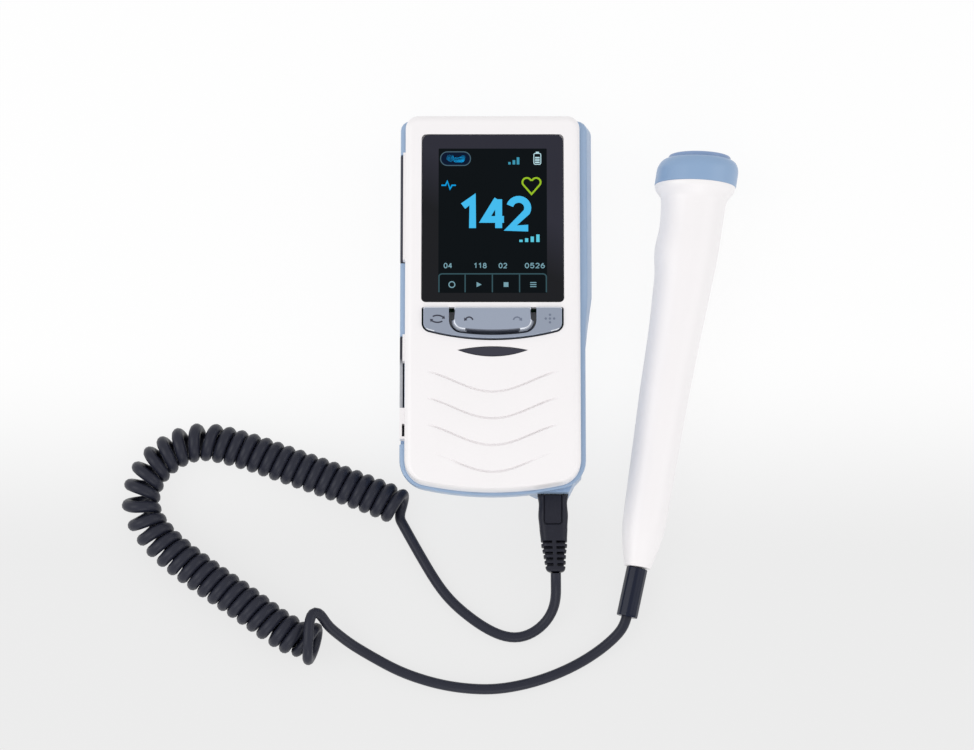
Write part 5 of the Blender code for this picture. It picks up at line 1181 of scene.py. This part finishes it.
class DopplerSizes(PropertyGroup):
    """Sizes and colours that a user would change."""

    cord_diameter: FloatProperty(name="Cord diameter", description="Outside diameter of the cord",
                                 default=0.0035, unit="LENGTH")
    curl_radius: FloatProperty(name="Curl radius", description="Radius of the curls at the cord's middle",
                               default=0.00455, unit="LENGTH")
    curl_pitch: FloatProperty(name="Curl pitch", description="Distance from curl to curl on the inner side",
                              default=0.004, unit="LENGTH")
    curl_swell: FloatProperty(name="Curl swell", description="How much thicker the jacket is in the curls",
                              default=1.15)
    curl_points: IntProperty(name="Points a curl", description="Points of the centre line in each curl",
                             default=18, min=12)
    white: FloatVectorProperty(name="White plastic", description="Colour of the cover and the handle",
                               default=paint(244, 241, 242), size=3, subtype="COLOR")
    blue: FloatVectorProperty(name="Blue plastic",
                              description="Colour of the rear shell and the probe's head",
                              default=paint(150, 174, 204), size=3, subtype="COLOR")
    face_blue: FloatVectorProperty(name="Face blue", description="Colour of the probe's acoustic face",
                                   default=paint(133, 157, 194), size=3, subtype="COLOR")
    ring_blue: FloatVectorProperty(name="Ring blue", description="Colour of the ring on the probe's head",
                                   default=paint(138, 166, 200), size=3, subtype="COLOR")
    silver: FloatVectorProperty(name="Silver paint", description="Colour of the keys",
                                default=paint(152, 161, 178), size=3, subtype="COLOR")
    window: FloatVectorProperty(name="Window", description="Colour of the smoked window",
                                default=paint(10, 12, 18), size=3, subtype="COLOR")
    # Colour of the painted reflection in the window's upper part.
    window_painted_reflection: FloatVectorProperty(name="Window, upper part",
                                      description="Colour of the window near its top",
                                      default=paint(37, 37, 49), size=3, subtype="COLOR")
    lens: FloatVectorProperty(name="Lens", description="Colour of the indicator lens",
                              default=paint(52, 52, 64), size=3, subtype="COLOR")
    cord_colour: FloatVectorProperty(name="Cord", description="Colour of the cord's jacket",
                                     default=paint(33, 35, 48), size=3, subtype="COLOR")
    plug_colour: FloatVectorProperty(name="Plug", description="Colour of the plug moulding",
                                     default=paint(31, 32, 43), size=3, subtype="COLOR")
    relief_colour: FloatVectorProperty(name="Strain relief",
                                       description="Colour of the probe's strain relief",
                                       default=paint(10, 18, 40), size=3, subtype="COLOR")
    camera_elevation: FloatProperty(name="Camera elevation", description="Angle of the view above the table",
                                    default=math.radians(78.5), subtype="ANGLE")
    camera_distance: FloatProperty(name="Camera distance", description="Distance from the lens to its target",
                                   default=1.3, unit="LENGTH")
    view_width: FloatProperty(name="View width", description="Width of the frame at the target",
                              default=0.3263, unit="LENGTH")


class DOPPLER_OT_camera(Operator):
    """Set the camera at the photograph's angle"""

    bl_idname = "doppler.camera"
    bl_label = "Camera"

    def execute(self, context):
        sizes = context.scene.doppler_sizes
        data = bpy.data.cameras.new("camera")
        camera = bpy.data.objects.new("camera", data)
        context.scene.collection.objects.link(camera)
        target = spot(-1.9, -25.0, 28.0)
        lift = sizes.camera_elevation
        back = Vector((0, -math.cos(lift), math.sin(lift)))
        camera.location = target + back * sizes.camera_distance
        camera.rotation_euler = (-back).to_track_quat("-Z", "Y").to_euler()
        data.sensor_width = 36.0
        data.lens = data.sensor_width * sizes.camera_distance / sizes.view_width
        data.clip_start = 0.05
        data.clip_end = 10.0
        context.scene.camera = camera
        return {"FINISHED"}


class DOPPLER_OT_cord(Operator):
    """Lay the cord from the plug through its curls to the probe"""

    bl_idname = "doppler.cord"
    bl_label = "Cord"

    def execute(self, context):
        sizes = context.scene.doppler_sizes
        points, first, last = cord_line(sizes)
        curve = bpy.data.curves.new("cord_curve", "CURVE")
        curve.dimensions = "3D"
        curve.bevel_depth = sizes.cord_diameter / 2
        curve.bevel_resolution = 4
        curve.use_fill_caps = True
        spline = curve.splines.new("POLY")
        spline.points.add(len(points) - 1)
        for index, (point, place) in enumerate(zip(spline.points, points)):
            point.co = (*place, 1)
            inside = ease(min(index - first, last - index) / sizes.curl_points)
            point.radius = 1 + (sizes.curl_swell - 1) * inside
        drawn = bpy.data.objects.new("cord_curve", curve)
        context.scene.collection.objects.link(drawn)
        mesh = bpy.data.meshes.new_from_object(drawn.evaluated_get(context.evaluated_depsgraph_get()))
        bpy.data.objects.remove(drawn)
        mesh.polygons.foreach_set("use_smooth", [True] * len(mesh.polygons))
        made = bpy.data.objects.new("curly_lead", mesh)
        context.scene.collection.objects.link(made)
        dress(made, "cord_jacket")
        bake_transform(made)
        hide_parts("lead_cord", "curly_cord", "tail_cord")
        return {"FINISHED"}


class DOPPLER_OT_finishes(Operator):
    """Give every solid that shows its finish and smooth shading"""

    bl_idname = "doppler.finishes"
    bl_label = "Finishes"

    def execute(self, context):
        for finish, names in CAD_FINISHES.items():
            for name in names:
                dress(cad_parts[name], finish)
                soften(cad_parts[name])
        return {"FINISHED"}


def area_light(name, place, target, size, power):
    """One soft lamp that points at a place."""
    data = bpy.data.lights.new(name, "AREA")
    data.shape = "RECTANGLE"
    data.size, data.size_y = size
    data.energy = power
    made = bpy.data.objects.new(name, data)
    bpy.context.scene.collection.objects.link(made)
    made.location = place
    made.rotation_euler = (Vector(target) - Vector(place)).to_track_quat("-Z", "Y").to_euler()


class DOPPLER_OT_stage(Operator):
    """Set the table, the sky and the lamps"""

    bl_idname = "doppler.stage"
    bl_label = "Stage"

    def execute(self, context):
        scene = context.scene
        scene.view_settings.view_transform = "Standard"
        mesh = bpy.data.meshes.new("table")
        bm = bmesh.new()
        bmesh.ops.create_grid(bm, x_segments=1, y_segments=1, size=3.0)
        bm.to_mesh(mesh)
        bm.free()
        table = bpy.data.objects.new("table", mesh)
        scene.collection.objects.link(table)
        paper = Finish("table_paper", (0.9, 0.9, 0.9), 0.8)
        # Painted shade: the table's glow turns from white to light grey towards the front.
        fade = ((paper.along(1) - (HOME.y + FADE_START)) / FADE_LENGTH).clamped()
        tone = paper.mix(fade * fade * (3.0 - fade * 2.0), (0.83, 0.83, 0.83, 1.0), (1.0, 1.0, 1.0, 1.0))
        glow = paper.node("ShaderNodeEmission", None, {"Color": tone, "Strength": 1.0})
        seen = paper.node("ShaderNodeLightPath", output="Is Camera Ray")
        for ray in ("Is Glossy Ray", "Is Transmission Ray"):
            seen = seen + paper.node("ShaderNodeLightPath", output=ray)
        share = (seen * TABLE_SHARE).clamped()
        lit = Link(paper, paper.shader.outputs[0])
        both = paper.node("ShaderNodeMixShader", None, {0: share, 1: lit, 2: glow})
        paper.tree.links.new(both.output, paper.tree.nodes["Material Output"].inputs["Surface"])
        mesh.materials.append(paper.material)
        world = bpy.data.worlds.new("studio")
        world.use_nodes = True
        world.node_tree.nodes["Background"].inputs["Color"].default_value = (1, 1, 1, 1)
        world.node_tree.nodes["Background"].inputs["Strength"].default_value = WORLD_STRENGTH
        scene.world = world
        middle = spot(0, -30, 0)
        for name, place, power in LAMPS:
            area_light(name, middle + Vector(place), middle, LAMP_SIZE, power)
        return {"FINISHED"}


class DOPPLER_PT_panel(Panel):
    """The doppler's pieces in the sidebar"""

    bl_idname = "DOPPLER_PT_panel"
    bl_label = "Fetal doppler"
    bl_space_type = "VIEW_3D"
    bl_region_type = "UI"
    bl_category = "Doppler"

    def draw(self, context):
        for operator in OPERATORS:
            self.layout.operator(operator.bl_idname)
        for name in DopplerSizes.__annotations__:
            self.layout.prop(context.scene.doppler_sizes, name)


OPERATORS = (DOPPLER_OT_camera, DOPPLER_OT_plug, DOPPLER_OT_cord, DOPPLER_OT_case, DOPPLER_OT_screen,
             DOPPLER_OT_keys, DOPPLER_OT_probe, DOPPLER_OT_finishes, DOPPLER_OT_stage)
CLASSES = (DopplerSizes, *OPERATORS, DOPPLER_PT_panel)
FINISHES = {}


def register():
    """Register the classes and hang the sizes on the scene."""
    for item in CLASSES:
        bpy.utils.register_class(item)
    bpy.types.Scene.doppler_sizes = PointerProperty(type=DopplerSizes)


def unregister():
    """Take the classes and the sizes away again."""
    del bpy.types.Scene.doppler_sizes
    for item in reversed(CLASSES):
        bpy.utils.unregister_class(item)


def main():
    """Dress the whole model."""
    register()
    FINISHES.update(make_finishes(bpy.context.scene.doppler_sizes))
    for operator in OPERATORS:
        group, name = operator.bl_idname.split(".")
        getattr(getattr(bpy.ops, group), name)()


if __name__ == "__main__":
    main()
